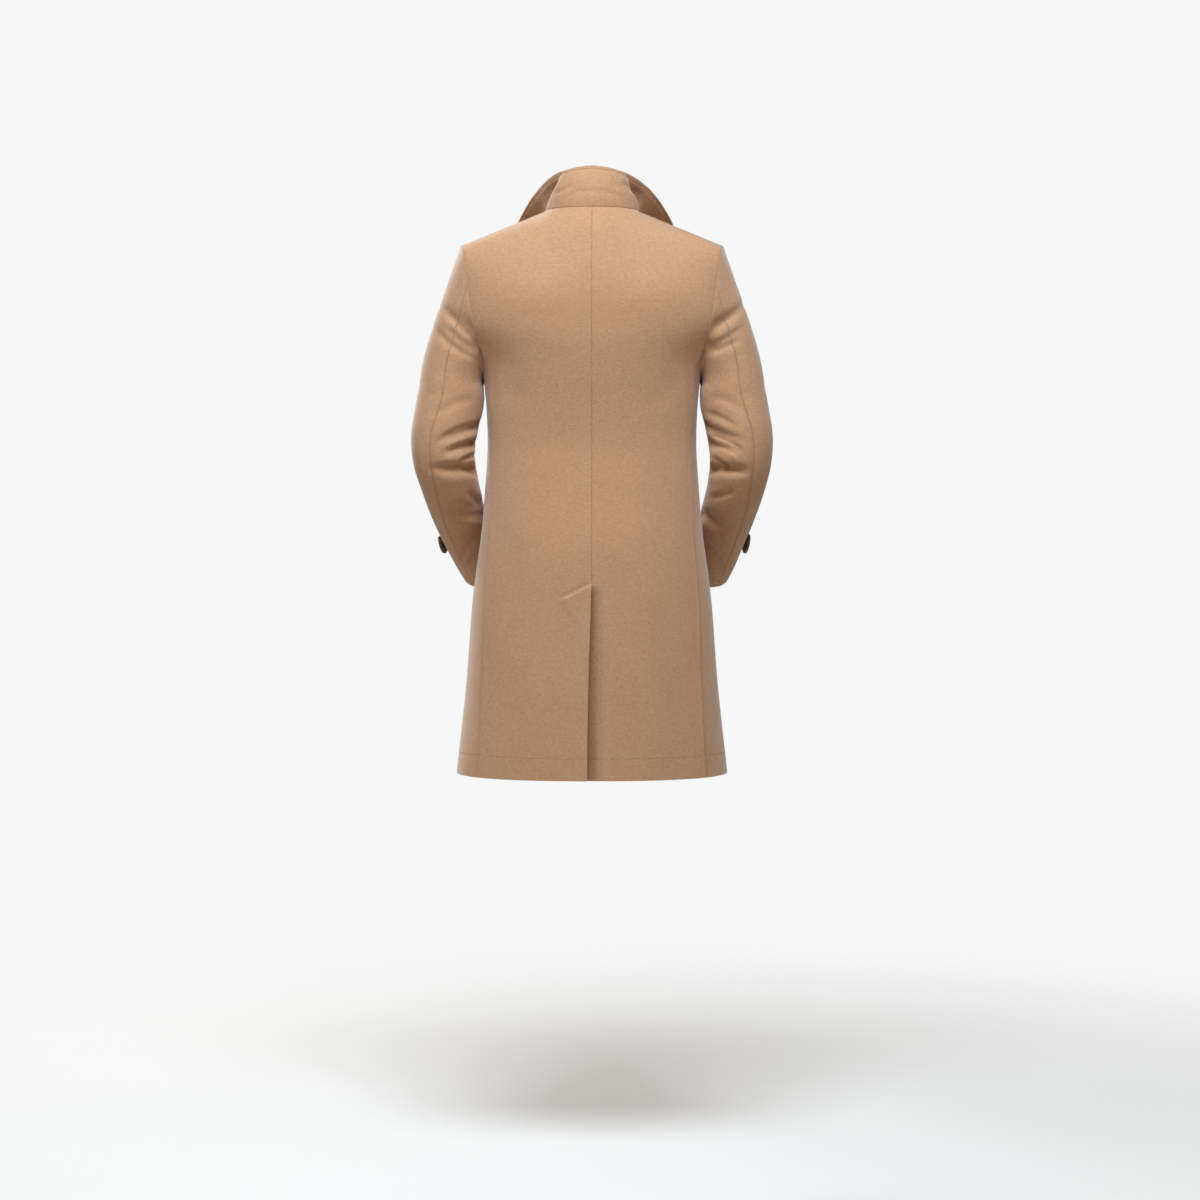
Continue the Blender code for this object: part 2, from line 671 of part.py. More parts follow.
def welt_grid(front):
    """Slanted pocket welt on a left front, foot first."""
    normals = grid_normals(front)
    top, foot = np.array(WELT_TOP), np.array(WELT_FOOT)
    along = (top - foot) / np.linalg.norm(top - foot)
    across = np.array([along[1], -along[0]])
    points = []
    for row in range(WELT_ROWS + 1):
        line_of_points = []
        for column in range(WELT_COLUMNS + 1):
            x, height = foot + (top - foot) * row / WELT_ROWS
            side = WELT_WIDTH * (0.5 - column / WELT_COLUMNS)
            place = place_on_front(front, x + across[0] * side, height + across[1] * side)
            normal = read_grid(normals, *place)
            point = read_grid(front, *place)
            line_of_points.append(point + normal / np.linalg.norm(normal) * (WELT_CLOTH + WELT_LIFT))
        points.append(line_of_points)
    return np.array(points)


def button(name, point, normal, finish):
    """Turned button with a raised rim, standing on a point of the cloth."""
    normal = Vector(normal).normalized()
    profile = [
        (0.0, 0.0), (BUTTON_RADIUS * BUTTON_FOOT, 0.0), (BUTTON_RADIUS, BUTTON_THICK * BUTTON_WAIST),
        (BUTTON_RADIUS * BUTTON_LIP, BUTTON_THICK), (BUTTON_RADIUS - BUTTON_RIM, BUTTON_THICK),
        (BUTTON_RADIUS - 2 * BUTTON_RIM, BUTTON_THICK - BUTTON_DISH), (0.0, BUTTON_THICK - BUTTON_DISH),
    ]
    shape = bmesh.new()
    corners = [shape.verts.new((radius, 0.0, height)) for radius, height in profile]
    edges = [shape.edges.new(pair) for pair in zip(corners[:-1], corners[1:])]
    bmesh.ops.spin(shape, geom=corners + edges, cent=(0, 0, 0), axis=(0, 0, 1),
                   angle=2 * math.pi, steps=BUTTON_SIDES, use_merge=True)
    bmesh.ops.remove_doubles(shape, verts=shape.verts, dist=SAME_SPOT)
    bmesh.ops.recalc_face_normals(shape, faces=shape.faces)
    made = solid(name, shape, finish)
    made.rotation_mode = "QUATERNION"
    made.rotation_quaternion = normal.to_track_quat("Z", "Y")
    made.location = Vector(point) + normal * BUTTON_SHANK
    return made


# Collar

def collar_half(side):
    """Rows of points of one half of the collar, from the centre back to its front end."""
    seam = np.concatenate([back_neckline(), front_neckline()[1:]])
    count = len(seam) - 1
    shares = np.linspace(0.0, 1.0, count + 1)
    beyond = COLLAR_EDGE[1]._replace(along=-COLLAR_EDGE[1].along, x=-COLLAR_EDGE[1].x)
    table = [beyond] + COLLAR_EDGE
    knots = table_column(table, "along")
    edge = smooth(knots, [[row.x, row.y, row.z] for row in table], shares)
    swell = smooth(knots, table_column(table, "swell"), shares)
    spread = 1 + (WING_SPREAD[side] - 1) * np.clip((shares - WING_START) / WING_BLEND, 0, 1)
    edge[:, 0] *= spread
    rows = []
    for row in range(COLLAR_ROWS + 1):
        climb = row / COLLAR_ROWS
        points = seam + (edge - seam) * climb
        outward = np.cross(np.gradient(seam, axis=0), edge - seam)
        outward /= -np.linalg.norm(outward, axis=1, keepdims=True)
        points = points + outward * (swell * 4 * climb * (1 - climb))[:, None]
        points[0, 0] = 0.0
        rows.append(points)
    return np.array(rows)


def main():
    for old in list(bpy.data.objects):
        bpy.data.objects.remove(old)

    camel = material("camel wool", CAMEL, 0.92)
    camel_shade = material("camel wool, under side", CAMEL_SHADE, 0.94)
    horn = material("dark brown horn", HORN, 0.35)

    back, front = back_panel(), front_panel()
    side = side_of_front(back, front)
    upper_front = raise_over(front, overlap_amount)
    loop = armhole_loop(back, side, front)
    front_column = len(loop) - ARMHOLE_ROWS + FRONT_SEAM_LIFT
    sleeves = {"left": (1, sleeve_grid(loop, 0)), "right": (-1, sleeve_grid(loop, 1))}

    pieces = {
        "back_left": quads_of(swing_vent(back), 1),
        "back_right": quads_of(sink_vent(back), -1) + quads_of(vent_underlap(back), -1),
        "front_left": quads_of(side, 1) + quads_of(upper_front, 1),
        "front_right": quads_of(side, -1) + quads_of(front, -1),
    }
    for word, (hand, sleeve) in sleeves.items():
        top_sleeve = columns_of(sleeve, front_column, len(loop) + BACK_SEAM_COLUMN)
        under_sleeve = columns_of(sleeve, BACK_SEAM_COLUMN, front_column)
        pieces[f"sleeve_top_{word}"] = quads_of(top_sleeve, hand)
        pieces[f"sleeve_under_{word}"] = quads_of(under_sleeve, hand)
    collar = quads_of(collar_half(1), 1) + quads_of(collar_half(-1), -1)

    normals = sewn_normals(list(pieces.values()) + [collar])
    for name, faces in pieces.items():
        cloth_wall(name, faces, CLOTH, normals, camel)
    cloth_wall("collar", collar, COLLAR_CLOTH, normals, camel_shade)

    laid = {
        "lapel_left": (quads_of(lapel_grid(upper_front), 1), LAPEL_CLOTH),
        "lapel_right": (quads_of(lapel_grid(front), -1), LAPEL_CLOTH),
        "pocket_welt_left": (quads_of(welt_grid(upper_front), 1), WELT_CLOTH),
        "pocket_welt_right": (quads_of(welt_grid(front), -1), WELT_CLOTH),
    }
    for name, (faces, thickness) in laid.items():
        cloth_wall(name, faces, thickness, sewn_normals([faces]), camel)

    out = grid_normals(upper_front)
    for number, height in enumerate(BUTTON_ROWS, 1):
        for word, x in (("left", BUTTON_ROW_X), ("right", -BUTTON_ROW_X)):
            place = place_on_front(upper_front, x, height)
            button(f"button_{word}_{number}", read_grid(upper_front, *place),
                   read_grid(out, *place), horn)

    for word, (hand, sleeve) in sleeves.items():
        out = grid_normals(sleeve)
        row = np.interp(-CUFF_BUTTON_HEIGHT, -sleeve[CAP_ROWS:, 0, 2], np.arange(CAP_ROWS, len(sleeve)))
        column = len(loop) + CUFF_BUTTON_ANGLE / 360 * len(loop)
        mirror = np.array([hand, 1.0, 1.0])
        button(f"button_cuff_{word}", read_grid(sleeve, row, column) * mirror,
               read_grid(out, row, column) * mirror, horn)


main()
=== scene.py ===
import math
from functools import partial

import bmesh
import bpy
import numpy as np
from mathutils import Matrix, Vector


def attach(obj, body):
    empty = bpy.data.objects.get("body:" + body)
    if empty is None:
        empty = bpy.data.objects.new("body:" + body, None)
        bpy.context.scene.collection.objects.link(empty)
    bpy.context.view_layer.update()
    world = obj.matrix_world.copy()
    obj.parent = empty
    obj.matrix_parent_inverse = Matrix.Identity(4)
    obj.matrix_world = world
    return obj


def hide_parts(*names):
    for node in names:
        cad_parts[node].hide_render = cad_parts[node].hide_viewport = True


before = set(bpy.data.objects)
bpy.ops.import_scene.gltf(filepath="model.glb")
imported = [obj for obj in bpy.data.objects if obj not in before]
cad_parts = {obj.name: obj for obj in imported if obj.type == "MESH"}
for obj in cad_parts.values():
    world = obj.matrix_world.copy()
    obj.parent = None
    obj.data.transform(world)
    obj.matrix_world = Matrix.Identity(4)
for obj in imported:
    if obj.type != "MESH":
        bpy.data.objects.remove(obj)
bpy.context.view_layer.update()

print("frame loaded,", len(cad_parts), "nodes")

sides = (("Left", 1), ("Right", -1))
mirrors = {side: np.array([side, 1.0, 1.0]) for _, side in sides}


# Small tools: tables with named columns, smooth curves, soft steps, distances

def table(names, rows):
    return dict(zip(names.split(), np.array(rows, float).T))


def rowsOf(columns):
    return [dict(zip(columns, row)) for row in zip(*columns.values())]


def smoothCurve(knots, values, at):
    knots, values = np.asarray(knots, float), np.asarray(values, float)
    at = np.clip(np.atleast_1d(np.asarray(at, float)), knots[0], knots[-1])
    steps = np.diff(knots)
    shape = (-1,) + (1,) * (values.ndim - 1)
    slopes = np.diff(values, axis=0) / steps.reshape(shape)
    before, after = steps[:-1].reshape(shape), steps[1:].reshape(shape)
    inner = (slopes[:-1] * after + slopes[1:] * before) / (before + after)
    tangents = np.concatenate([slopes[:1], inner, slopes[-1:]])
    span = np.clip(np.searchsorted(knots, at, "right") - 1, 0, len(steps) - 1)
    width = steps[span].reshape(shape)
    share = ((at - knots[span]) / steps[span]).reshape(shape)
    return bridge(share, values[span], width * tangents[span], values[span + 1], width * tangents[span + 1])


def bridge(share, start, startWay, stop, stopWay):
    square, cube = share**2, share**3
    return ((2 * cube - 3 * square + 1) * start + (cube - 2 * square + share) * startWay
            + (3 * square - 2 * cube) * stop + (cube - square) * stopWay)


def softStep(share):
    share = np.clip(share, 0.0, 1.0)
    return share * share * (3 - 2 * share)


def bell(distance):  # 1 at nought, falling softly to both sides
    return np.exp(-(distance**2))


def gap(points, others):
    return np.linalg.norm(points - others, axis=-1)


def walk(points):  # length from the first point along a line of points
    return np.concatenate([[0.0], np.cumsum(gap(points[1:], points[:-1]))])


def pointsAt(walked, points, wanted):
    return np.stack([np.interp(wanted, walked, points[:, axis]) for axis in range(3)], axis=-1)


def evenPoints(points, count):
    walked = walk(points)
    return pointsAt(walked, points, np.linspace(0.0, walked[-1], count + 1))


def unit(vectors):
    return vectors / np.linalg.norm(vectors, axis=-1, keepdims=True)


def gridNormals(grid):
    return unit(np.cross(np.gradient(grid, axis=0), np.gradient(grid, axis=1)))


def readGrid(grid, row, column):
    row = np.clip(row, 0.0, grid.shape[0] - 1.0)
    column = np.clip(column, 0.0, grid.shape[1] - 1.0)
    low = np.minimum(np.floor(row).astype(int), grid.shape[0] - 2)
    left = np.minimum(np.floor(column).astype(int), grid.shape[1] - 2)
    up, right = (row - low)[..., None], (column - left)[..., None]
    lower = grid[low, left] * (1 - right) + grid[low, left + 1] * right
    upper = grid[low + 1, left] * (1 - right) + grid[low + 1, left + 1] * right
    return lower * (1 - up) + upper * up


# Blender tools: objects from a bmesh, and nodes whose sockets are filled in one call

def addObject(name, data):
    made = bpy.data.objects.new(name, data)
    bpy.context.scene.collection.objects.link(made)
    return made


def meshObject(name, shape, material=None):
    mesh = bpy.data.meshes.new(name)
    shape.to_mesh(mesh)
    shape.free()
    if material:
        mesh.materials.append(material)
    return addObject(name, mesh)


def aimAt(made, place, aim):
    made.location = place
    made.rotation_euler = (Vector(aim) - Vector(place)).to_track_quat("-Z", "Y").to_euler()


def smoothFaces(shape):
    for face in shape.faces:
        face.smooth = True


def feed(tree, socket, value):  # a fixed value, or another node's socket
    if isinstance(value, bpy.types.NodeSocket):
        tree.links.new(value, socket)
    else:
        socket.default_value = value


def node(tree, kind, inputs=None, **values):
    made = tree.nodes.new("ShaderNode" + kind)
    for name, value in values.items():
        setattr(made, name, value)
    for socket, value in (inputs or {}).items():
        feed(tree, made.inputs[socket], value)
    return made


def math2(tree, operation, *values):
    return node(tree, "Math", dict(enumerate(values)), operation=operation).outputs[0]


def newMaterial(name, inputs):
    made = bpy.data.materials.new(name)
    made.use_nodes = True
    shader = made.node_tree.nodes["Principled BSDF"]
    for socket, value in inputs.items():
        shader.inputs[socket].default_value = value
    return made, made.node_tree, shader


def addBump(tree, shader, height, strength):
    bump = node(tree, "Bump", {"Strength": strength, "Distance": 1.0, "Height": height})
    feed(tree, shader.inputs["Normal"], bump.outputs["Normal"])


def unevenRoughness(tree, shader, value, middle, spread):
    rough = math2(tree, "ADD", middle, math2(tree, "MULTIPLY", value, spread))
    feed(tree, shader.inputs["Roughness"], rough)


# Camera where the photograph was taken from: straight behind, a little below the collar

cameraSetup = {
    "frameWidth": 1200,        # pixels of the square picture
    "pixelSize": 0.0017,       # metres that one pixel covers at the middle of the coat
    "distance": 5.0,
    "x": -0.0136,
    "height": -0.4556,
    "aimHeight": -0.6596,
    "sensor": 36.0,
}


def addCamera(setup):
    data = bpy.data.cameras.new("photoCamera")
    data.sensor_width = setup["sensor"]
    data.lens = setup["sensor"] * setup["distance"] / setup["pixelSize"] / setup["frameWidth"]
    camera = addObject("photoCamera", data)
    aimAt(camera, (setup["x"], setup["distance"], setup["height"]), (setup["x"], 0.0, setup["aimHeight"]))
    bpy.context.scene.camera = camera


# Pale floor that fades into the background, and soft studio light

studio = {
    "floorHeight": -1.595,
    "floorRadius": 3.4,
    "floorSides": 96,
    "floorColour": (0.85, 0.835, 0.81, 1.0),
    "floorRoughness": 0.9,
    "floorFade": (0.55, 2.38),     # metres from the middle
    "speckScale": 60.0,
    "speckDark": 0.985,
    "background": (0.93, 0.93, 0.93, 1.0),
    "ambient": 0.11,
    "ambientColour": (0.98, 0.92, 0.85, 1.0),
    "lights": [  # name, place, aim, width, height, watts, warmth, beam in degrees
        ("topSoftbox", (0.06, 1.45, 1.65), (0.0, 0.10, -0.20), 1.5, 1.0, 79.0, -0.10, 180),
        ("backFill", (-0.10, 4.2, 0.60), (0.0, 0.0, -0.30), 1.6, 1.6, 16.0, 0.13, 180),
        ("sideGrid", (2.3, 1.9, -0.90), (0.0, 0.14, -0.95), 0.8, 0.8, 0.13, 0.0, 16),
        ("leftRim", (2.4, 0.7, 0.3), (0.2, 0.0, -0.45), 0.6, 1.6, 8.5, 0.0, 180),
        ("rightRim", (-2.4, 0.7, 0.3), (-0.2, 0.0, -0.45), 0.6, 1.6, 8.0, 0.0, 180),
        ("frontFill", (1.9, -2.7, 1.3), (0.0, 0.0, -0.45), 1.4, 1.4, 108.0, 0.0, 180),
    ],
}


def floorPaint(setup):
    paint, tree, shader = newMaterial("palePaint", {"Roughness": setup["floorRoughness"]})
    place = node(tree, "TexCoord").outputs["Object"]
    speck = node(tree, "TexNoise", {"Vector": place, "Scale": setup["speckScale"]})
    darker = [value * setup["speckDark"] for value in setup["floorColour"][:3]] + [1.0]
    tone = node(tree, "MixRGB", {"Fac": speck.outputs["Fac"], "Color1": setup["floorColour"],
                                 "Color2": darker})
    flat = node(tree, "VectorMath", {0: place, 1: (1.0, 1.0, 0.0)}, operation="MULTIPLY")
    reach = node(tree, "VectorMath", {0: flat.outputs["Vector"]}, operation="LENGTH")
    start, stop = setup["floorFade"]
    fade = node(tree, "MapRange", {"Value": reach.outputs["Value"], "From Min": start, "From Max": stop,
                                   "To Min": 1.0, "To Max": 0.0}, interpolation_type="SMOOTHSTEP")
    feed(tree, shader.inputs["Base Color"], tone.outputs["Color"])
    feed(tree, shader.inputs["Alpha"], fade.outputs["Result"])
    return paint


def addStudio(setup):
    shape = bmesh.new()
    bmesh.ops.create_circle(shape, cap_ends=True, segments=setup["floorSides"], radius=setup["floorRadius"])
    bmesh.ops.translate(shape, verts=shape.verts, vec=(0.0, 0.0, setup["floorHeight"]))
    floor = meshObject("studioFloor", shape, floorPaint(setup))
    for name, place, aim, width, height, watts, warmth, beam in setup["lights"]:
        data = bpy.data.lights.new(name, "AREA")
        data.shape = "RECTANGLE"
        data.size, data.size_y, data.energy = width, height, watts
        data.color = (1.0 + warmth, 1.0, 1.0 - warmth)
        data.spread = math.radians(beam)
        aimAt(addObject(name, data), place, aim)
    world = bpy.data.worlds.new("studioWorld")
    world.use_nodes = True
    tree = world.node_tree
    seen = tree.nodes["Background"]
    seen.inputs["Color"].default_value = setup["background"]
    ambient = node(tree, "Background", {"Color": setup["ambientColour"], "Strength": setup["ambient"]})
    mix = node(tree, "MixShader", {"Fac": node(tree, "LightPath").outputs["Is Camera Ray"],
                                   1: ambient.outputs["Background"], 2: seen.outputs["Background"]})
    feed(tree, tree.nodes["World Output"].inputs["Surface"], mix.outputs["Shader"])
    bpy.context.scene.world = world
    bpy.context.scene.view_settings.view_transform = "Standard"


# Wool: short nap over a fine weave; the weave follows the piece's own UV, which is in metres

woolFinish = {
    "tone": (0.474, 0.261, 0.140, 1.0),
    # shade: the dark end of the nap's speckle, and also the colour that painted shade darkens towards
    "shade": (0.30, 0.152, 0.078, 1.0),
    "tip": (0.62, 0.370, 0.220, 1.0),
    "threadPitch": 0.0019,
    "napSize": 0.0032,
    "cloudSize": 0.085,
    "roughness": 0.88,
    "sheen": 0.45,
    "sheenRoughness": 0.45,
    "sheenTint": (1.0, 0.95, 0.88, 1.0),
    "napHeight": 0.00045,
    "weaveHeight": 0.00016,
    "lineDepth": 0.0006,
    "lineWidth": 0.0010,
    "lineDark": 0.30,
    "napNoise": (4.0, 0.62),       # detail, and stretch sideways
    "fibreNoise": (2.0, 0.45),
    "cloudNoise": (2.0, 0.8),
    "fibreSize": 0.30,             # of the nap's size
    "napShare": 0.72,              # the rest of the grain is fibres
    "grainRange": (0.30, 0.70),
    "speckle": 0.72,
    "patch": 0.28,
    "threadMiddle": 0.6,
    "ribbing": 0.20,
    "roughnessSpread": 0.10,
    "specular": 0.18,
    "bumpStrength": 0.75,
}


def napGroup(finish):
    group = bpy.data.node_groups.new("woolNap", "ShaderNodeTree")
    sizes = "threadPitch napSize cloudSize napHeight weaveHeight lineDepth lineWidth"
    for way, kind, names in (("INPUT", "Color", "tone shade tip"), ("INPUT", "Float", sizes),
                             ("OUTPUT", "Color", "colour"), ("OUTPUT", "Float", "roughness height")):
        for name in names.split():
            group.interface.new_socket(name, in_out=way, socket_type="NodeSocket" + kind)
    given, result = group.nodes.new("NodeGroupInput").outputs, group.nodes.new("NodeGroupOutput").inputs
    kinds = ("ADD", "SUBTRACT", "MULTIPLY", "DIVIDE", "SINE", "ABSOLUTE", "MINIMUM", "MAXIMUM")
    add, minus, times, over, sine, positive, least, most = (partial(math2, group, kind) for kind in kinds)
    place = node(group, "TexCoord").outputs["Object"]

    def noise(size, detail, stretch):
        scaled = node(group, "VectorMath", {0: place, 1: (stretch, stretch, 1.0)}, operation="MULTIPLY")
        made = node(group, "TexNoise", {"Vector": scaled.outputs["Vector"], "Scale": over(1.0, size),
                                        "Detail": detail})
        return made.outputs["Fac"]

    nap = noise(given["napSize"], *finish["napNoise"])
    fibre = noise(times(given["napSize"], finish["fibreSize"]), *finish["fibreNoise"])
    cloud = noise(given["cloudSize"], *finish["cloudNoise"])
    flat = node(group, "UVMap", uv_map="weave").outputs["UV"]
    across, up = node(group, "SeparateXYZ", {"Vector": flat}).outputs[:2]
    turns = over(math.pi, given["threadPitch"])
    warp, weft = [positive(sine(times(way, turns))) for way in (across, up)]
    half = times(turns, 0.5)
    which = math2(group, "GREATER_THAN", times(sine(times(across, half)), sine(times(up, half))), 0.0)
    thread = add(times(warp, which), times(weft, minus(1.0, which)))
    line, shaded = [node(group, "Attribute", attribute_name=name).outputs["Fac"]
                    for name in ("lineDistance", "shaded")]
    near = over(line, given["lineWidth"])
    groove = math2(group, "POWER", math.e, times(times(near, near), -1.0))

    grain = add(times(nap, finish["napShare"]), times(fibre, 1 - finish["napShare"]))
    low, high = finish["grainRange"]
    spread = node(group, "MapRange", {"Value": grain, "From Min": low, "From Max": high}).outputs["Result"]
    light = times(minus(spread, 0.5), finish["speckle"])
    light = add(light, times(minus(cloud, 0.5), finish["patch"]))
    light = add(light, times(minus(thread, finish["threadMiddle"]), finish["ribbing"]))
    # painted shade: the vertex value 'shaded' darkens the colour towards the shade colour
    light = minus(minus(light, times(groove, finish["lineDark"])), shaded)
    raised = node(group, "MixRGB", {"Fac": most(light, 0.0), "Color1": given["tone"], "Color2": given["tip"]})
    lower = most(least(times(light, -1.0), 1.0), 0.0)
    sunk = node(group, "MixRGB", {"Fac": lower, "Color1": raised.outputs["Color"], "Color2": given["shade"]})
    rough = add(finish["roughness"] - finish["roughnessSpread"] / 2, times(grain, finish["roughnessSpread"]))
    height = add(times(grain, given["napHeight"]), times(thread, given["weaveHeight"]))
    height = minus(height, times(groove, given["lineDepth"]))
    for name, value in (("colour", sunk.outputs["Color"]), ("roughness", rough), ("height", height)):
        feed(group, result[name], value)
    return group


def woolMaterial(finish):
    wool, tree, shader = newMaterial("camelWool", {
        "Sheen Weight": finish["sheen"], "Sheen Roughness": finish["sheenRoughness"],
        "Sheen Tint": finish["sheenTint"], "Specular IOR Level": finish["specular"]})
    nap = node(tree, "Group", node_tree=napGroup(finish))
    for socket in nap.inputs:
        socket.default_value = finish[socket.name]
    feed(tree, shader.inputs["Base Color"], nap.outputs["colour"])
    feed(tree, shader.inputs["Roughness"], nap.outputs["roughness"])
    addBump(tree, shader, nap.outputs["height"], finish["bumpStrength"])
    return wool


# Dark horn for the buttons, camel thread for the stitches and brown thread for the buttons

hornFinish = {
    "dark": (0.36, (0.095, 0.046, 0.026, 1.0)),    # place on the ramp, and colour
    "light": (0.72, (0.235, 0.122, 0.068, 1.0)),
    "streakSize": 0.006,
    "streakDetail": 5.0,
    "streakBend": 1.6,
    "streakStretch": (0.35, 1.0, 1.0),
    "roughness": 0.26,
    "roughnessSpread": 0.2,
    "coat": 0.10,
    "coatRoughness": 0.22,
    "scratchHeight": 0.00006,
    "bumpStrength": 0.5,
}
threadFinish = {
    "camelThread": ((0.20, 0.11, 0.06, 1.0), (0.34, 0.20, 0.11, 1.0)),
    "brownThread": ((0.03, 0.016, 0.010, 1.0), (0.08, 0.045, 0.026, 1.0)),
    "twist": 2500.0,
    "sheen": 0.2,
    "roughness": 0.62,
    "roughnessSpread": 0.2,
}


def hornMaterial(finish):
    horn, tree, shader = newMaterial("darkHorn", {"Coat Weight": finish["coat"],
                                                  "Coat Roughness": finish["coatRoughness"]})
    place = node(tree, "TexCoord").outputs["Object"]
    stretch = node(tree, "Mapping", {"Vector": place, "Scale": finish["streakStretch"]})
    streak = node(tree, "TexNoise", {"Vector": stretch.outputs["Vector"], "Scale": 1.0 / finish["streakSize"],
                                     "Detail": finish["streakDetail"], "Distortion": finish["streakBend"]})
    streak = streak.outputs["Fac"]
    ramp = node(tree, "ValToRGB", {"Fac": streak})
    for element, (position, colour) in zip(ramp.color_ramp.elements, (finish["dark"], finish["light"])):
        element.position, element.color = position, colour
    feed(tree, shader.inputs["Base Color"], ramp.outputs["Color"])
    unevenRoughness(tree, shader, streak, finish["roughness"], finish["roughnessSpread"])
    addBump(tree, shader, math2(tree, "MULTIPLY", streak, finish["scratchHeight"]), finish["bumpStrength"])
    return horn


def threadMaterial(name, finish):
    thread, tree, shader = newMaterial(name, {"Sheen Weight": finish["sheen"]})
    place = node(tree, "TexCoord").outputs["Object"]
    ply = node(tree, "TexNoise", {"Vector": place, "Scale": finish["twist"]}).outputs["Fac"]
    dark, light = finish[name]
    tone = node(tree, "MixRGB", {"Fac": ply, "Color1": dark, "Color2": light})
    feed(tree, shader.inputs["Base Color"], tone.outputs["Color"])
    unevenRoughness(tree, shader, ply, finish["roughness"], finish["roughnessSpread"])
    return thread


# The coat's cut: level sections from the hem up, the same sizes as the solids have

coatCut = {
    "fine": 6,            # rows and columns of the cloth for each one of the solids
    "arcPoints": 480,     # points of a section before they are spaced evenly
    "cloth": 0.003,
    "layerGap": 0.0006,
    "sections": table("height halfWidth backDepth frontDepth seamShare rows", [
        (-0.952, 0.2305, 0.168, 0.170, 0.826, 3),   # hem
        (-0.800, 0.2150, 0.156, 0.160, 0.850, 12),
        (-0.650, 0.2025, 0.143, 0.150, 0.880, 3),   # top of the vent's underlap
        (-0.627, 0.1995, 0.141, 0.149, 0.885, 2),   # vent opens
        (-0.550, 0.1885, 0.132, 0.138, 0.905, 2),
        (-0.470, 0.1815, 0.117, 0.130, 0.925, 2),
        (-0.390, 0.1770, 0.108, 0.125, 0.940, 1),   # waist
        (-0.340, 0.1785, 0.110, 0.128, 0.955, 2),   # lapel breaks
        (-0.270, 0.1850, 0.118, 0.132, 0.975, 2),   # underarm
    ]),
    "backYoke": table("height halfWidth backDepth armholeX rows", [
        (-0.200, 0.232, 0.124, 0.196, 2),
        (-0.130, 0.238, 0.121, 0.207, 2),
    ]),
    "frontYoke": table("height halfWidth frontDepth armholeX rows", [
        (-0.200, 0.208, 0.136, 0.180, 2),
        (-0.130, 0.212, 0.130, 0.188, 2),
    ]),
    "backSquareness": 2.3,
    "frontSquareness": 2.05,
    "sideFrontShare": 0.930,
    "shoulderRows": 3,
    "shoulderReach": 0.150,
    "shoulderLift": (0.62, 0.73, 0.82),   # at the centre, the neck point and the shoulder tip
    "shoulderDraw": (0.42, 0.42, 0.31),
    "shoulderRound": (0.0, 0.6, 0.85),
    "neckSoftening": 8,
    "neckBack": (0.0, 0.074, 0.0),
    "neckPoint": (0.079, 0.004, -0.002),
    "shoulderTip": (0.2225, 0.0, -0.060),
    "rollTop": (0.078, -0.050, -0.022),
    "armholeDip": 0.013,
    "shoulderColumns": 7,
    "neckBackColumns": 6,
    "neckFrontColumns": 5,
    "sideColumns": 6,
    "overlap": 0.085,
    "overlapBlend": 0.065,
    "crossing": -0.175,
    "crossingBlend": 0.10,
    "lapelRise": 0.0098,
    "lapelMargin": 0.07,
    "lapelMarginBlend": 0.05,
    "ventUnderlap": 0.048,
    "ventColumns": 3,
    "ventBlend": 0.030,
    "ventSwing": 0.008,
    "ventSwingWidth": 0.060,
}
fine = coatCut["fine"]
sectionLevels = coatCut["sections"]["height"]
hemHeight, underlapTop, ventTop, breakHeight = [sectionLevels[index] for index in (0, 2, 3, -2)]
sectionRows = [int(rows) * fine for rows in coatCut["sections"]["rows"]]
yokeRows = [int(rows) * fine for rows in coatCut["backYoke"]["rows"]]
shoulderRows = coatCut["shoulderRows"] * fine
underarmRow = sum(sectionRows[:-1])
breakRow = underarmRow - sectionRows[-2]
underlapRow = sectionRows[0] + sectionRows[1]
armholeRows = sectionRows[-1] + sum(yokeRows) + shoulderRows


def sectionAngle(share, squareness):
    if share < 0:
        return math.pi - sectionAngle(-share, squareness)
    return math.acos(share ** (squareness / 2))


def sectionArc(row, start, stop, count):
    angles = np.linspace(start, stop, coatCut["arcPoints"])
    across, deep = np.cos(angles), np.sin(angles)
    power = 2 / np.where(deep > 0, coatCut["backSquareness"], coatCut["frontSquareness"])
    depth = np.where(deep > 0, row.get("backDepth", 0.0), row.get("frontDepth", 0.0))
    x = row["halfWidth"] * np.sign(across) * np.abs(across) ** power
    y = depth * np.sign(deep) * np.abs(deep) ** power
    return evenPoints(np.stack([x, y, np.full_like(x, row["height"])], axis=1), count)


def splitSpans(knots, counts):
    wanted = [knots[0]]
    for start, stop, count in zip(knots[:-1], knots[1:], counts):
        wanted += list(np.linspace(start, stop, int(count) + 1)[1:])
    return np.array(wanted)


def bodyRows(stations, rowCounts):
    levels = list(sectionLevels) + list(coatCut["backYoke"]["height"])
    reach = coatCut["shoulderReach"]
    knots = (levels + [levels[-1] + reach / 2, levels[-1] + reach])[: len(stations)]
    return smoothCurve(knots, stations, splitSpans(knots, rowCounts))


def straightLine(start, stop, count):
    shares = np.linspace(0.0, 1.0, count + 1)[:, None]
    return np.array(start) * (1 - shares) + np.array(stop) * shares


def backNeckline():
    back, point = coatCut["neckBack"], coatCut["neckPoint"]
    turn = np.linspace(0.0, math.pi / 2, coatCut["neckBackColumns"] * fine + 1)
    return np.stack([point[0] * np.sin(turn), point[1] + (back[1] - point[1]) * np.cos(turn),
                     back[2] + (point[2] - back[2]) * (1 - np.cos(turn))], axis=1)


def frontNeckline():
    point, top = np.array(coatCut["neckPoint"]), np.array(coatCut["rollTop"])
    shares = np.linspace(0.0, 1.0, coatCut["neckFrontColumns"] * fine + 1)[:, None]
    return point + (top - point) * np.concatenate([shares, shares, shares**1.5], axis=1)


def shoulderRow(name, spots, order):
    return np.interp(np.arange(spots[-1] + 1), spots, coatCut[name][::order])


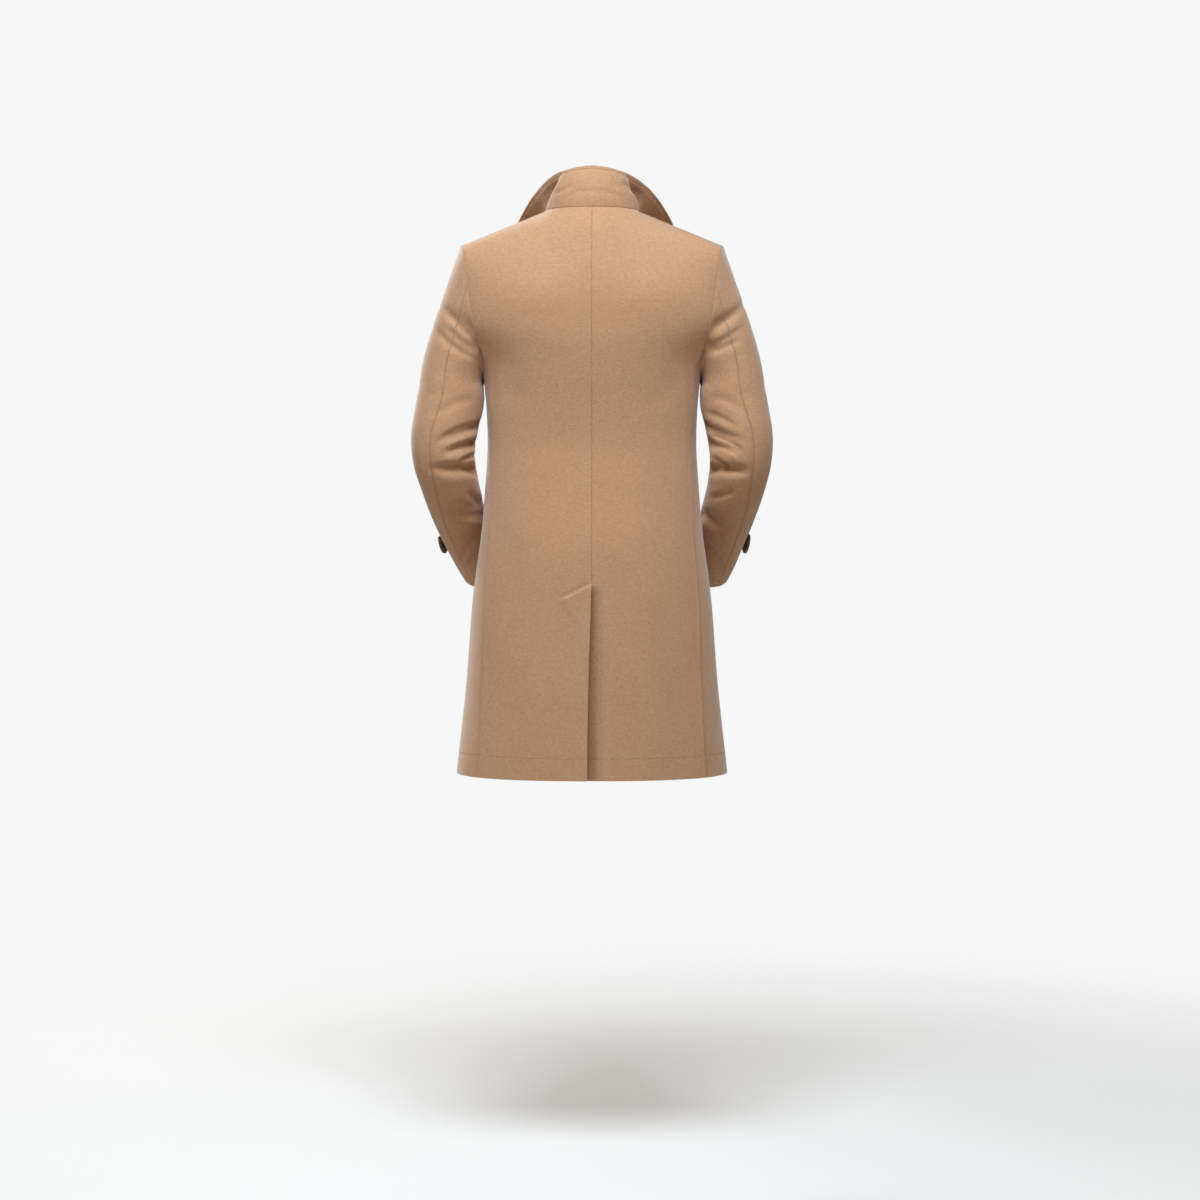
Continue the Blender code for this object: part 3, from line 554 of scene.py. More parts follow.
def shoulderCurve(lower, upper, spots, order):
    upper = upper.copy()
    for _ in range(coatCut["neckSoftening"] * fine**2):
        upper[1:-1] += (upper[:-2] + upper[2:] - 2 * upper[1:-1]) / 4
    draw, lift = shoulderRow("shoulderDraw", spots, order), shoulderRow("shoulderLift", spots, order)
    share = np.stack([np.full(len(draw), 0.5), draw, lift], axis=1)
    return lower + (upper - lower) * share


def bodyGrid(stations, top, spots, order):  # adds the shoulder and rounds it
    stations = stations + [shoulderCurve(stations[-1], top, spots, order), top]
    grid = bodyRows(stations, sectionRows + yokeRows + [shoulderRows])
    shares = np.linspace(0.0, 1.0, shoulderRows + 1)[:, None]
    rise = grid[-1, :, 2] - grid[-1 - shoulderRows, :, 2]
    rounding = shoulderRow("shoulderRound", spots, order) * rise
    grid[-1 - shoulderRows:, :, 2] += rounding * (shares**2 - shares**3)
    return grid


def rollLineX(height):
    climb = (height - breakHeight) / (coatCut["rollTop"][2] - breakHeight)
    return -coatCut["overlap"] + (coatCut["rollTop"][0] + coatCut["overlap"]) * max(climb, 0.0)


def backPanel():
    columns = (coatCut["neckBackColumns"] + coatCut["shoulderColumns"]) * fine
    stations = []
    for row in rowsOf(coatCut["sections"]) + rowsOf(coatCut["backYoke"]):
        share = row["armholeX"] / row["halfWidth"] if "armholeX" in row else row["seamShare"]
        stop = sectionAngle(share, coatCut["backSquareness"])
        stations.append(sectionArc(row, math.pi / 2, stop, columns))
    seam = straightLine(coatCut["neckPoint"], coatCut["shoulderTip"], coatCut["shoulderColumns"] * fine)
    top = np.concatenate([backNeckline(), seam[1:]])
    return bodyGrid(stations, top, (0, coatCut["neckBackColumns"] * fine, columns), 1)


def frontPanel():
    square = coatCut["frontSquareness"]
    columns = (coatCut["neckFrontColumns"] + coatCut["shoulderColumns"]) * fine
    stations = []
    for row in rowsOf(coatCut["sections"]) + rowsOf(coatCut["frontYoke"]):
        share = row["armholeX"] / row["halfWidth"] if "armholeX" in row else coatCut["sideFrontShare"]
        stop = -sectionAngle(rollLineX(row["height"]) / row["halfWidth"], square)
        stations.append(sectionArc(row, -sectionAngle(share, square), stop, columns))
    seam = straightLine(coatCut["shoulderTip"], coatCut["neckPoint"], coatCut["shoulderColumns"] * fine)
    top = np.concatenate([seam, frontNeckline()[1:]])
    return bodyGrid(stations, top, (0, coatCut["shoulderColumns"] * fine, columns), -1)


def sidePanel(back, front):
    stations = []
    stop = -sectionAngle(coatCut["sideFrontShare"], coatCut["frontSquareness"])
    for row in rowsOf(coatCut["sections"]):
        start = sectionAngle(row["seamShare"], coatCut["backSquareness"])
        stations.append(sectionArc(row, start, stop, coatCut["sideColumns"] * fine))
    grid = bodyRows(stations, sectionRows[:-1])
    grid[-1, :, 2] -= coatCut["armholeDip"] * np.sin(np.linspace(0.0, math.pi, grid.shape[1]))
    grid[:, 0] = back[: underarmRow + 1, -1]
    grid[:, -1] = front[: underarmRow + 1, 0]
    return grid


# The left front lies over the right one, and the left back over the vent's underlap

def raiseOver(grid):
    x, height = grid[..., 0], grid[..., 2]
    share = 1 - softStep((x - coatCut["overlap"]) / coatCut["overlapBlend"])
    lapel = softStep((height - breakHeight + coatCut["lapelMargin"]) / coatCut["lapelMarginBlend"])
    settled = softStep((height - coatCut["crossing"]) / coatCut["crossingBlend"])
    layers = coatCut["cloth"] + 2 * coatCut["layerGap"] + coatCut["lapelRise"] * lapel
    raised = grid.copy()
    raised[..., 1] -= layers * (1 - settled) * share
    return raised


def sinkVent(grid):
    x, height = grid[..., 0], grid[..., 2]
    share = (1 - softStep(x / coatCut["ventBlend"])) * softStep((ventTop - height) / (ventTop - underlapTop))
    sunk = grid.copy()
    sunk[..., 1] -= (coatCut["cloth"] + coatCut["layerGap"]) * share
    return sunk


def swingVent(grid):
    x, height = grid[..., 0], grid[..., 2]
    down = 1 - (1 - np.clip((ventTop - height) / (ventTop - hemHeight), 0.0, 1.0)) ** 2
    swung = grid.copy()
    swung[..., 0] += coatCut["ventSwing"] * down * np.clip(1 - x / coatCut["ventSwingWidth"], 0.0, 1.0)
    return swung


def ventStrip(back):
    shares = np.linspace(1.0, 0.0, coatCut["ventColumns"] * fine + 1)
    strip = []
    for row in back[: underlapRow + 1]:
        y = np.interp(coatCut["ventUnderlap"] * shares, row[:, 0], row[:, 1])
        y = y - coatCut["cloth"] - coatCut["layerGap"]
        strip.append(np.stack([-coatCut["ventUnderlap"] * shares, y, np.full_like(y, row[0, 2])], axis=1))
    return np.array(strip)


# Sleeves: a cap that leaves the armhole, then rings down to the cuff

sleeveCut = {
    "rings": table("x y z across deep backSeam frontSeam rightSwing rows", [
        (0.2380, 0.004, -0.300, 0.0545, 0.0630, 80, 238, 0.000, 2),   # upper arm
        (0.2396, 0.007, -0.321, 0.0568, 0.0615, 78, 238, 0.000, 2),
        (0.2443, 0.012, -0.345, 0.0560, 0.0600, 76, 238, 0.000, 4),
        (0.2510, 0.018, -0.385, 0.0550, 0.0580, 70, 240, 0.000, 4),
        (0.2505, 0.016, -0.420, 0.0525, 0.0560, 66, 240, 0.001, 4),   # elbow
        (0.2435, 0.000, -0.455, 0.0495, 0.0535, 62, 240, 0.0035, 3),
        (0.2295, -0.047, -0.508, 0.0465, 0.0510, 56, 240, 0.005, 3),
        (0.2095, -0.100, -0.560, 0.0445, 0.0490, 50, 240, 0.0085, 2),
        (0.1940, -0.134, -0.593, 0.0440, 0.0475, 46, 240, 0.0125, 1),
        (0.1862, -0.149, -0.607, 0.0440, 0.0475, 44, 240, 0.014, 0),  # cuff
    ]),
    "capRows": 8,
    "capLead": (0.28, 0.0, -0.96),
    "capPull": 0.9,
    "capSoftening": 120,
    "capSoftRise": 3,
    "foldLead": 0.1,
    "foldFade": 0.5,
    "backSeamColumn": 5,
    "frontSeamLift": 2,
    "axisStep": 0.002,
    "foldRidge": 0.6,
    "folds": table("height angle endHeight endAngle halfWidth depth", [
        (-0.168, 48, -0.205, 105, 0.011, 0.0050),
        (-0.192, 45, -0.232, 110, 0.011, 0.0050),
        (-0.392, 84, -0.362, 172, 0.010, 0.0060),
        (-0.411, 92, -0.392, 172, 0.009, 0.0060),
        (-0.440, 70, -0.438, 165, 0.011, 0.0075),
        (-0.522, 92, -0.514, 165, 0.010, 0.0035),
    ]),
}


def armholeLoop(back, side, front):
    down = back[::-1, -1][: len(back) - underarmRow]
    return np.concatenate([down, side[-1, 1:], front[underarmRow + 1:-1, 0]])


def foldDepth(height, angle, radius):
    pushed = np.zeros_like(height)
    for fold in rowsOf(sleeveCut["folds"]):
        start = np.array([fold["height"], math.radians(fold["angle"]) * radius])
        run = np.array([fold["endHeight"], math.radians(fold["endAngle"]) * radius]) - start
        away = np.stack([height, angle * radius], axis=-1) - start
        nearest = np.clip(away @ run / (run @ run), 0.0, 1.0)
        distance = gap(away, run * nearest[..., None]) / fold["halfWidth"]
        deep = fold["depth"] * softStep((nearest + sleeveCut["foldLead"]) / sleeveCut["foldFade"])
        pushed += deep * (1 - sleeveCut["foldRidge"] * distance**2) * bell(distance)
    return pushed


def sleeveCap(loop, first, way):  # from the armhole to the first ring
    count = sleeveCut["capRows"] * fine
    reach = gap(first, loop)[:, None] * sleeveCut["capPull"]
    angles = 2 * math.pi * np.arange(len(loop)) / len(loop)
    cap = []
    for row in range(count):
        share = row / count
        ring = bridge(share, loop, np.array(sleeveCut["capLead"]) * reach, first, way * reach)
        tip = ring[0].copy()
        rounds = sleeveCut["capSoftening"] * softStep(share * sleeveCut["capSoftRise"]) * (1 - share)
        for _ in range(round(rounds)):
            ring += (np.roll(ring, 1, axis=0) + np.roll(ring, -1, axis=0) - 2 * ring) / 4
        ring += (tip - ring[0]) * ((1 + np.cos(angles)) / 2)[:, None] ** 2
        middle = loop.mean(axis=0) * (1 - share) + first.mean(axis=0) * share
        pushed = foldDepth(ring[:, 2], angles, sleeveCut["rings"]["across"][0]) * softStep(row / fine)
        cap.append(ring + unit(middle - ring) * pushed[:, None])
    return np.array(cap)


def sleeveTube(loop, side):
    rings = sleeveCut["rings"]
    count = len(loop)
    values = np.stack([rings[name] for name in list(rings)[:-1]], axis=1)
    centres = values[:, :3]
    run = walk(centres)
    wanted, step = splitSpans(run, rings["rows"] * fine), sleeveCut["axisStep"]
    ways = unit(smoothCurve(run, centres, wanted + step) - smoothCurve(run, centres, wanted - step))
    backColumn = sleeveCut["backSeamColumn"] * fine
    frontColumn = count - armholeRows + sleeveCut["frontSeamLift"] * fine
    anchors = [0, backColumn, (backColumn + frontColumn) / 2, frontColumn, count]
    tube = []
    for (x, y, z, across, deep, backSeam, frontSeam, out), way in zip(smoothCurve(run, values, wanted), ways):
        backward = unit(np.array([0.0, 1.0, 0.0]) - way * way[1])
        outward = np.cross(way, backward)
        degrees = [0.0, backSeam, (backSeam + frontSeam) / 2, frontSeam, 360.0]
        angles = np.radians(np.interp(np.arange(count), anchors, degrees))
        radial = np.cos(angles)[:, None] * outward * across + np.sin(angles)[:, None] * backward * deep
        ring = np.array([x + (out if side < 0 else 0.0), y, z]) + radial
        tube.append(ring - unit(radial) * foldDepth(ring[:, 2], angles, across)[:, None])
    cap = sleeveCap(loop, tube[0], ways[0])
    below = np.array(tube)
    evened = np.stack([evenPoints(below[:, column], len(below) - 1) for column in range(count)], axis=1)
    return np.concatenate([cap, evened]), frontColumn, backColumn


# Creases listed as they show from behind or from in front: depth is inward, negative is a ridge

creaseForm = {
    "reach": {1: 0.40, -1: 0.10},   # how far creases seen from behind and from in front run round the sides
    "turnSoft": 0.55,
    "endOver": 0.22,                # they run on past their ends by this share
    "endSoft": 0.5,
    "ridge": 0.45,                  # soft ridges beside each trough
}


def creaseTable(rows):
    return table("x z endX endZ bow width depth", rows)


def seenFrom(points, facing):
    if facing < 0:
        return points[..., 0], points[..., 2]
    scale = cameraSetup["distance"] / (cameraSetup["distance"] - points[..., 1])
    x = cameraSetup["x"] + (points[..., 0] - cameraSetup["x"]) * scale
    return x, cameraSetup["height"] + (points[..., 2] - cameraSetup["height"]) * scale


def alongLine(x, height, start, stop):  # share of the way along a line, and the distance to its side
    run = np.array(stop) - np.array(start)
    length = np.linalg.norm(run)
    x, height = x - start[0], height - start[1]
    return (x * run[0] + height * run[1]) / length**2, (height * run[0] - x * run[1]) / length


def creaseShift(points, normals, creases, facing):
    x, height = seenFrom(points, facing)
    turned = softStep((normals[..., 1] * facing + creaseForm["reach"][facing]) / creaseForm["turnSoft"])
    over, soft = creaseForm["endOver"], creaseForm["endSoft"]
    total = np.zeros_like(x)
    for crease in rowsOf(creases):
        start, stop = (crease["x"], crease["z"]), (crease["endX"], crease["endZ"])
        along, aside = alongLine(x, height, start, stop)
        inside = np.clip(along, 0.0, 1.0)
        distance = (aside - crease["bow"] * 4 * inside * (1 - inside)) / crease["width"]
        ends = softStep((along + over) / soft) * softStep((1 + over - along) / soft)
        total += crease["depth"] * ends * (1 - creaseForm["ridge"] * distance**2) * bell(distance)
    return total * turned


def creased(grid, normals, creaseLists):
    moved = grid.copy()
    for creases, facing in creaseLists:
        moved -= normals * creaseShift(grid, normals, creases, facing)[..., None]
    return moved


# Cloth pieces: a grid of cloth laid on its form, then given its thickness and a soft edge

clothBuild = {
    "edgeRound": 0.0007,
    "seamRound": 0.0004,
    "edgeSegments": 2,
    "sharpFrom": {"edgeRound": 45, "seamRound": 78},   # degrees
    "weldDistance": 0.00002,
    "farFromLine": 0.2,
}
hemFold = {"turn": 0.036, "narrow": 2.4}                 # height of the hem's line, and how thin it shows
lapSeam = {"width": 0.005, "top": -0.40, "fade": 0.25}   # the side-back seam shows from the waist down


def flatCoordinates(grid):
    across = gap(grid[:, 1:], grid[:, :-1])
    u = np.concatenate([np.zeros((grid.shape[0], 1)), np.cumsum(across, axis=1)], axis=1)
    return u, np.repeat(walk(grid[:, 0])[:, None], grid.shape[1], axis=1)


def seamDistance(grid, names):
    edges = {"first": grid[:, :1], "last": grid[:, -1:], "top": grid[-1:]}
    near = np.full(grid.shape[:2], clothBuild["farFromLine"])
    for name in names:
        near = np.minimum(near, gap(grid, edges[name]))
    return near


def hemDistance(grid):
    return (grid[..., 2] - hemHeight - hemFold["turn"]) * hemFold["narrow"]


def signedLine(line, others):  # the sign lets a line lie between two rows of points
    return np.copysign(np.minimum(np.abs(line), others), line)


def bandBeside(grid, column, width, top, fade):  # 1 along a column of the grid, soft to its sides
    return bell(gap(grid, grid[:, column][:, None]) / width) * softStep((top - grid[..., 2]) / fade)


def layGrid(shape, grid, side, lineDistance, shaded, uvStart):
    rows, columns = grid.shape[:2]
    made = bmesh.ops.create_grid(shape, x_segments=columns - 1, y_segments=rows - 1, size=1.0)["verts"]
    weave = shape.loops.layers.uv["weave"]
    line = shape.verts.layers.float["lineDistance"]
    shade = shape.verts.layers.float["shaded"]
    u, v = flatCoordinates(grid)
    places = {}
    for vert in made:
        column = round((vert.co.x + 1) / 2 * (columns - 1))
        row = round((vert.co.y + 1) / 2 * (rows - 1))
        x, y, z = grid[row, column]
        vert.co = (x * side, y, z)
        vert[line] = lineDistance[row, column]
        vert[shade] = shaded[row, column]
        places[vert] = (uvStart + u[row, column], v[row, column])
    faces = list({face for vert in made for face in vert.link_faces})
    for face in faces:
        face.smooth = True
        for loop in face.loops:
            loop[weave].uv = places[loop.vert]
    if side > 0:
        bmesh.ops.reverse_faces(shape, faces=faces)


def clothPiece(name, grids, side, thickness, edgeRound, lines, shades=None):
    shape = bmesh.new()
    shape.loops.layers.uv.new("weave")
    for layer in ("lineDistance", "shaded"):
        shape.verts.layers.float.new(layer)
    uvStart = 0.0
    for index, grid in enumerate(grids):
        shaded = np.zeros(grid.shape[:2]) if shades is None else shades[index]
        layGrid(shape, grid, side, lines[index], shaded, uvStart)
        uvStart += flatCoordinates(grid)[0].max()
    bmesh.ops.remove_doubles(shape, verts=shape.verts, dist=clothBuild["weldDistance"])
    piece = meshObject(name, shape, wool)
    wall = piece.modifiers.new("wall", "SOLIDIFY")
    wall.thickness = thickness
    wall.offset = -1.0
    if edgeRound == "unbevelled":
        return piece
    edge = piece.modifiers.new("softEdge", "BEVEL")
    edge.width = clothBuild[edgeRound]
    edge.segments = clothBuild["edgeSegments"]
    edge.limit_method = "ANGLE"
    edge.angle_limit = math.radians(clothBuild["sharpFrom"][edgeRound])
    edge.harden_normals = True
    edge.use_clamp_overlap = False
    return piece


def dress(piece, slotName, *nodes):
    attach(piece, "root")
    if nodes:
        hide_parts(*nodes)


addCamera(cameraSetup)
addStudio(studio)
print("camera and light ready")

wool = woolMaterial(woolFinish)
horn = hornMaterial(hornFinish)
camelThread, brownThread = [threadMaterial(name, threadFinish) for name in ("camelThread", "brownThread")]
print("finishes ready")

backForm, frontForm = backPanel(), frontPanel()
sideForm = sidePanel(backForm, frontForm)
upperForm = raiseOver(frontForm)
loopForm = armholeLoop(backForm, sideForm, frontForm)
print("body form ready")


# Backs: left over right at the vent, a pressed ridge at the vent's top and a turned-up hem

backSettings = {
    "ventRidgeStart": (0.0, -0.628),
    "ventRidgeEnd": (0.0545, -0.656),
    "ventTrough": 0.0012,
    "ventTroughWidth": 0.0035,
    "ventRidgeStep": 0.0020,
    "ventRidgeSoft": 0.0034,
    "ventRidgeFall": 0.060,
    "ventRidgeFades": (0.02, 0.10, 0.04, 0.25),   # reach and softness of its start, then of its end
    "ventLift": 0.0085,
    "ventLiftFade": 0.12,
    "ventLiftWidth": 0.046,
    "ventHollow": 0.0034,
    "ventHollowFade": 0.06,
    "ventHollowWidth": 0.026,
    "ventSeamEnd": 0.004,
    "seamRidge": 0.0012,
    # ventShade, ventShadeWidth, ventShadeFade: painted shadow beside the vent's edge on the right back, and
    # over the hidden underlap strip
    "ventShade": 0.95,
    "ventShadeWidth": 0.008,
    "ventShadeFade": 0.02,
    "creases": creaseTable([
        (0.125, -0.560, 0.150, -0.930, 0.006, 0.030, 0.0022),
        (0.062, -0.700, 0.075, -0.945, 0.004, 0.026, 0.0014),
        (-0.118, -0.540, -0.148, -0.930, -0.006, 0.032, 0.0022),
        (-0.058, -0.690, -0.070, -0.945, -0.004, 0.026, 0.0013),
        (0.150, -0.235, 0.120, -0.330, 0.004, 0.022, 0.0016),
        (-0.150, -0.235, -0.118, -0.330, -0.004, 0.022, 0.0016),
    ]),
}


def ventRidge(grid, settings):
    start, stop = settings["ventRidgeStart"], settings["ventRidgeEnd"]
    along, above = alongLine(grid[..., 0], grid[..., 2], start, stop)
    lead, leadSoft, tail, tailSoft = settings["ventRidgeFades"]
    ends = softStep((along + lead) / leadSoft) * softStep((1 + tail - along) / tailSoft)
    rise = softStep(0.5 - above / settings["ventRidgeSoft"])
    raised = settings["ventRidgeStep"] * rise * (1 - softStep(-above / settings["ventRidgeFall"]))
    return ends * (raised - settings["ventTrough"] * bell(1 - above / settings["ventTroughWidth"]))


def ventLift(grid, settings):
    down = softStep((ventTop - grid[..., 2]) / settings["ventLiftFade"])
    return settings["ventLift"] * down * np.clip(1 - grid[..., 0] / settings["ventLiftWidth"], 0.0, 1.0) ** 2


def ventHollow(grid, settings):
    down = softStep((ventTop - grid[..., 2]) / settings["ventHollowFade"])
    return settings["ventHollow"] * down * (1 - softStep(grid[..., 0] / settings["ventHollowWidth"]))


def makeBacks(settings):
    seams = seamDistance(backForm, ["first"])
    seams += clothBuild["farFromLine"] * softStep((ventTop - backForm[..., 2]) / settings["ventSeamEnd"])
    seams = np.minimum(seams, seamDistance(backForm, ["last", "top"]))
    for word, side in sides:
        form = swingVent(backForm) if side > 0 else sinkVent(backForm)
        outward = gridNormals(form) * mirrors[side]
        raised = settings["seamRidge"] * bandBeside(form, -1, **lapSeam)
        if side > 0:
            raised += ventRidge(form, settings) + ventLift(form, settings)
        else:
            raised -= ventHollow(form, settings)
        moved = creased(form * mirrors[side], outward, [(settings["creases"], 1)])
        moved += outward * raised[..., None]
        grids, flats = [moved * mirrors[side]], [form]
        lines, shades = [signedLine(hemDistance(backForm), seams)], [np.zeros(form.shape[:2])]
        if side < 0:
            strip = ventStrip(backForm) + (grids[0] - form)[: underlapRow + 1, :1]
            # painted shadow: the right back is darkened along its centre below the vent's top, where the left
            # flap shades it; the underlap strip is painted dark all over
            beside = bandBeside(form, 0, settings["ventShadeWidth"], ventTop, settings["ventShadeFade"])
            grids.append(strip)
            flats.append(strip)
            lines.append(hemDistance(strip))
            shades = [settings["ventShade"] * beside, np.full(strip.shape[:2], settings["ventShade"])]
        piece = clothPiece("woolBack" + word, grids, side, coatCut["cloth"], "seamRound", lines, shades)
        dress(piece, "wool", "back_" + word.lower())
    print("backs made")


# Fronts: from the side-back seam round to the front edge, with soft drapes below the waist

frontSettings = {
    "stitchInset": 0.006,
    "seamSink": 0.0006,
    # seamShade: painted shade beside the side-back seam on the side panel, where the back panel's lapped edge
    # would shade it
    "seamShade": 0.32,
    "backCreases": creaseTable([
        (0.196, -0.640, 0.214, -0.940, 0.003, 0.016, 0.0016),
        (-0.196, -0.640, -0.214, -0.940, -0.003, 0.016, 0.0016),
    ]),
    "frontCreases": creaseTable([
        (0.150, -0.470, 0.184, -0.935, 0.010, 0.028, 0.0080),
        (0.088, -0.640, 0.100, -0.945, 0.006, 0.022, 0.0052),
        (0.020, -0.700, 0.026, -0.945, 0.003, 0.020, 0.0032),
        (-0.152, -0.460, -0.186, -0.935, -0.008, 0.029, 0.0074),
        (-0.116, -0.760, -0.128, -0.945, -0.004, 0.020, 0.0046),
        (0.150, -0.165, 0.148, -0.300, 0.004, 0.015, 0.0046),
        (-0.152, -0.170, -0.150, -0.305, -0.004, 0.016, 0.0042),
        (0.165, -0.255, 0.105, -0.330, 0.006, 0.014, 0.0048),
        (-0.165, -0.250, -0.112, -0.332, -0.006, 0.015, 0.0044),
        (0.162, -0.390, 0.084, -0.372, 0.004, 0.013, 0.0036),
        (-0.164, -0.400, -0.092, -0.380, -0.004, 0.014, 0.0034),
    ]),
}


def makeFronts(settings):
    edges = {}
    lists = [(settings["backCreases"], 1), (settings["frontCreases"], -1)]
    for word, side in sides:
        flats = [sideForm, upperForm if side > 0 else frontForm]
        grids, lines, shades = [], [], []
        for form in flats:
            normals = gridNormals(form) * mirrors[side]
            moved = creased(form * mirrors[side], normals, lists)
            seams = seamDistance(form, ["first", "top"])
            beside = np.zeros(form.shape[:2])
            if form is sideForm:
                beside = bandBeside(form, 0, **lapSeam)
            else:
                seams[:underarmRow] = clothBuild["farFromLine"]
                stitched = np.abs(gap(form, form[:, -1:]) - settings["stitchInset"])
                seams[:breakRow] = np.minimum(seams, stitched)[:breakRow]
            grids.append((moved - normals * settings["seamSink"] * beside[..., None]) * mirrors[side])
            lines.append(signedLine(hemDistance(form), seams))
            # painted shade: the side panel is darkened in a soft band beside the side-back seam, from the
            # waist down
            shades.append(settings["seamShade"] * beside)
        grids[0][:, -1] = grids[1][: underarmRow + 1, 0]
        piece = clothPiece("woolFront" + word, grids, side, coatCut["cloth"], "seamRound", lines, shades)
        dress(piece, "wool", "front_" + word.lower())
        edges[side] = grids[1]
    print("fronts made")
    return edges


# Sleeves: drag lines from the armpit, deep breaks at the bent elbow, short ones near the cuff

sleeveSettings = {
    "seamTuck": (0.0026, 0.0012),      # the cloth runs on this far into the body and inside its edge
    "seamSink": 0.0006,
    # seamShade: painted shade along the sleeve seams and the armhole seam
    "seamShade": 0.15,
    "seamWidth": 0.0034,
    "leftCreases": creaseTable([
        (0.252, -0.163, 0.200, -0.217, 0.004, 0.0085, 0.0046),
        (0.240, -0.186, 0.202, -0.226, 0.003, 0.0060, -0.0024),
        (0.265, -0.202, 0.216, -0.240, 0.004, 0.0085, 0.0050),
        (0.226, -0.240, 0.200, -0.248, 0.000, 0.0060, 0.0024),
        (0.268, -0.344, 0.204, -0.318, -0.003, 0.0100, 0.0026),
        (0.258, -0.388, 0.196, -0.360, -0.004, 0.0075, 0.0034),
        (0.246, -0.408, 0.196, -0.390, -0.003, 0.0065, 0.0036),
        (0.224, -0.425, 0.201, -0.413, 0.000, 0.0045, 0.0058),
        (0.270, -0.436, 0.204, -0.436, -0.004, 0.0080, 0.0036),
        (0.210, -0.478, 0.184, -0.498, 0.000, 0.0090, 0.0046),
        (0.246, -0.516, 0.186, -0.502, -0.004, 0.0120, 0.0046),
        (0.236, -0.530, 0.196, -0.526, -0.002, 0.0070, -0.0022),
        (0.220, -0.584, 0.190, -0.542, 0.002, 0.0100, 0.0056),
        (0.210, -0.602, 0.190, -0.572, 0.000, 0.0070, 0.0040),
        (0.196, -0.296, 0.190, -0.322, 0.000, 0.0160, -0.0013),
    ]),
    "rightCreases": creaseTable([
        (-0.256, -0.160, -0.204, -0.196, -0.004, 0.0085, 0.0044),
        (-0.252, -0.190, -0.200, -0.218, -0.003, 0.0060, -0.0022),
        (-0.250, -0.218, -0.196, -0.238, -0.003, 0.0080, 0.0050),
        (-0.256, -0.336, -0.202, -0.314, 0.003, 0.0095, 0.0026),
        (-0.242, -0.366, -0.196, -0.342, 0.003, 0.0075, 0.0032),
        (-0.252, -0.404, -0.202, -0.380, 0.003, 0.0068, 0.0052),
        (-0.246, -0.420, -0.212, -0.402, 0.002, 0.0060, -0.0020),
        (-0.232, -0.438, -0.209, -0.420, 0.000, 0.0048, 0.0062),
        (-0.262, -0.444, -0.208, -0.436, 0.004, 0.0075, 0.0030),
        (-0.240, -0.476, -0.204, -0.486, 0.000, 0.0072, 0.0036),
        (-0.222, -0.546, -0.188, -0.512, 0.002, 0.0100, 0.0060),
        (-0.236, -0.550, -0.206, -0.538, 0.000, 0.0070, -0.0020),
        (-0.226, -0.604, -0.190, -0.558, 0.000, 0.0095, 0.0056),
        (-0.196, -0.298, -0.190, -0.318, 0.000, 0.0160, -0.0013),
    ]),
    "frontCreases": creaseTable([
        (0.262, -0.175, 0.204, -0.222, 0.004, 0.0095, 0.0046),
        (0.268, -0.226, 0.210, -0.256, 0.004, 0.0085, 0.0038),
        (0.274, -0.392, 0.206, -0.366, -0.004, 0.0095, 0.0052),
        (0.278, -0.425, 0.204, -0.404, -0.004, 0.0085, 0.0058),
        (0.264, -0.464, 0.194, -0.448, -0.003, 0.0090, 0.0044),
        (0.238, -0.540, 0.178, -0.516, -0.002, 0.0090, 0.0034),
        (-0.264, -0.182, -0.204, -0.230, -0.004, 0.0090, 0.0042),
        (-0.266, -0.236, -0.212, -0.262, -0.004, 0.0090, 0.0034),
        (-0.274, -0.386, -0.206, -0.362, 0.004, 0.0090, 0.0048),
        (-0.278, -0.420, -0.204, -0.396, 0.004, 0.0090, 0.0056),
        (-0.266, -0.458, -0.194, -0.442, 0.003, 0.0085, 0.0048),
        (-0.240, -0.536, -0.180, -0.510, 0.002, 0.0090, 0.0034),
    ]),
}


def tubeNormals(tube):
    wrapped = np.concatenate([tube[:, -1:], tube, tube[:, :1]], axis=1)
    return gridNormals(wrapped)[:, 1:-1]


def tubeColumns(tube, start, stop):
    return tube[:, [index % tube.shape[1] for index in range(start, stop + 1)]]


def makeSleeves(settings):
    along, inside = settings["seamTuck"]
    hidden = loopForm + unit(loopForm.mean(axis=0) - loopForm) * inside - np.array([along, 0.0, 0.0])
    tubes = {}
    for word, side in sides:
        tube, frontColumn, backColumn = sleeveTube(loopForm, side)
        tubes[side] = tube
        normals = tubeNormals(tube)
        lists = [(settings[word.lower() + "Creases"], 1), (settings["frontCreases"], -1)]
        moved = creased(tube * mirrors[side], normals * mirrors[side], lists) * mirrors[side]
        for column in (frontColumn, backColumn):
            near = gap(tube, tube[:, column][:, None]) / settings["seamWidth"]
            moved -= normals * settings["seamSink"] * bell(near)[..., None]
        rows = softStep(np.arange(len(tube)) / (2 * fine))[:, None, None]
        moved = np.concatenate([hidden[None], tube + (moved - tube) * rows])
        spans = {"Top": (frontColumn, len(loopForm) + backColumn), "Under": (backColumn, frontColumn)}
        for part, (start, stop) in spans.items():
            grid = tubeColumns(moved, start, stop)
            line = np.minimum(seamDistance(grid, ["first", "last"]), gap(grid, grid[1:2]))
            # painted shade: a soft dark band along both sleeve seams and the armhole seam, standing in for
            # shade in the seams' grooves
            shade = settings["seamShade"] * bell(line / settings["seamWidth"])
            name = f"woolSleeve{part}{word}"
            piece = clothPiece(name, [grid], side, coatCut["cloth"], "seamRound", [line], [shade])
            dress(piece, "wool", f"sleeve_{part.lower()}_{word.lower()}")
    print("sleeves made")
    return tubes


# Collar: turned up round the neck, its wings flaring over the shoulders

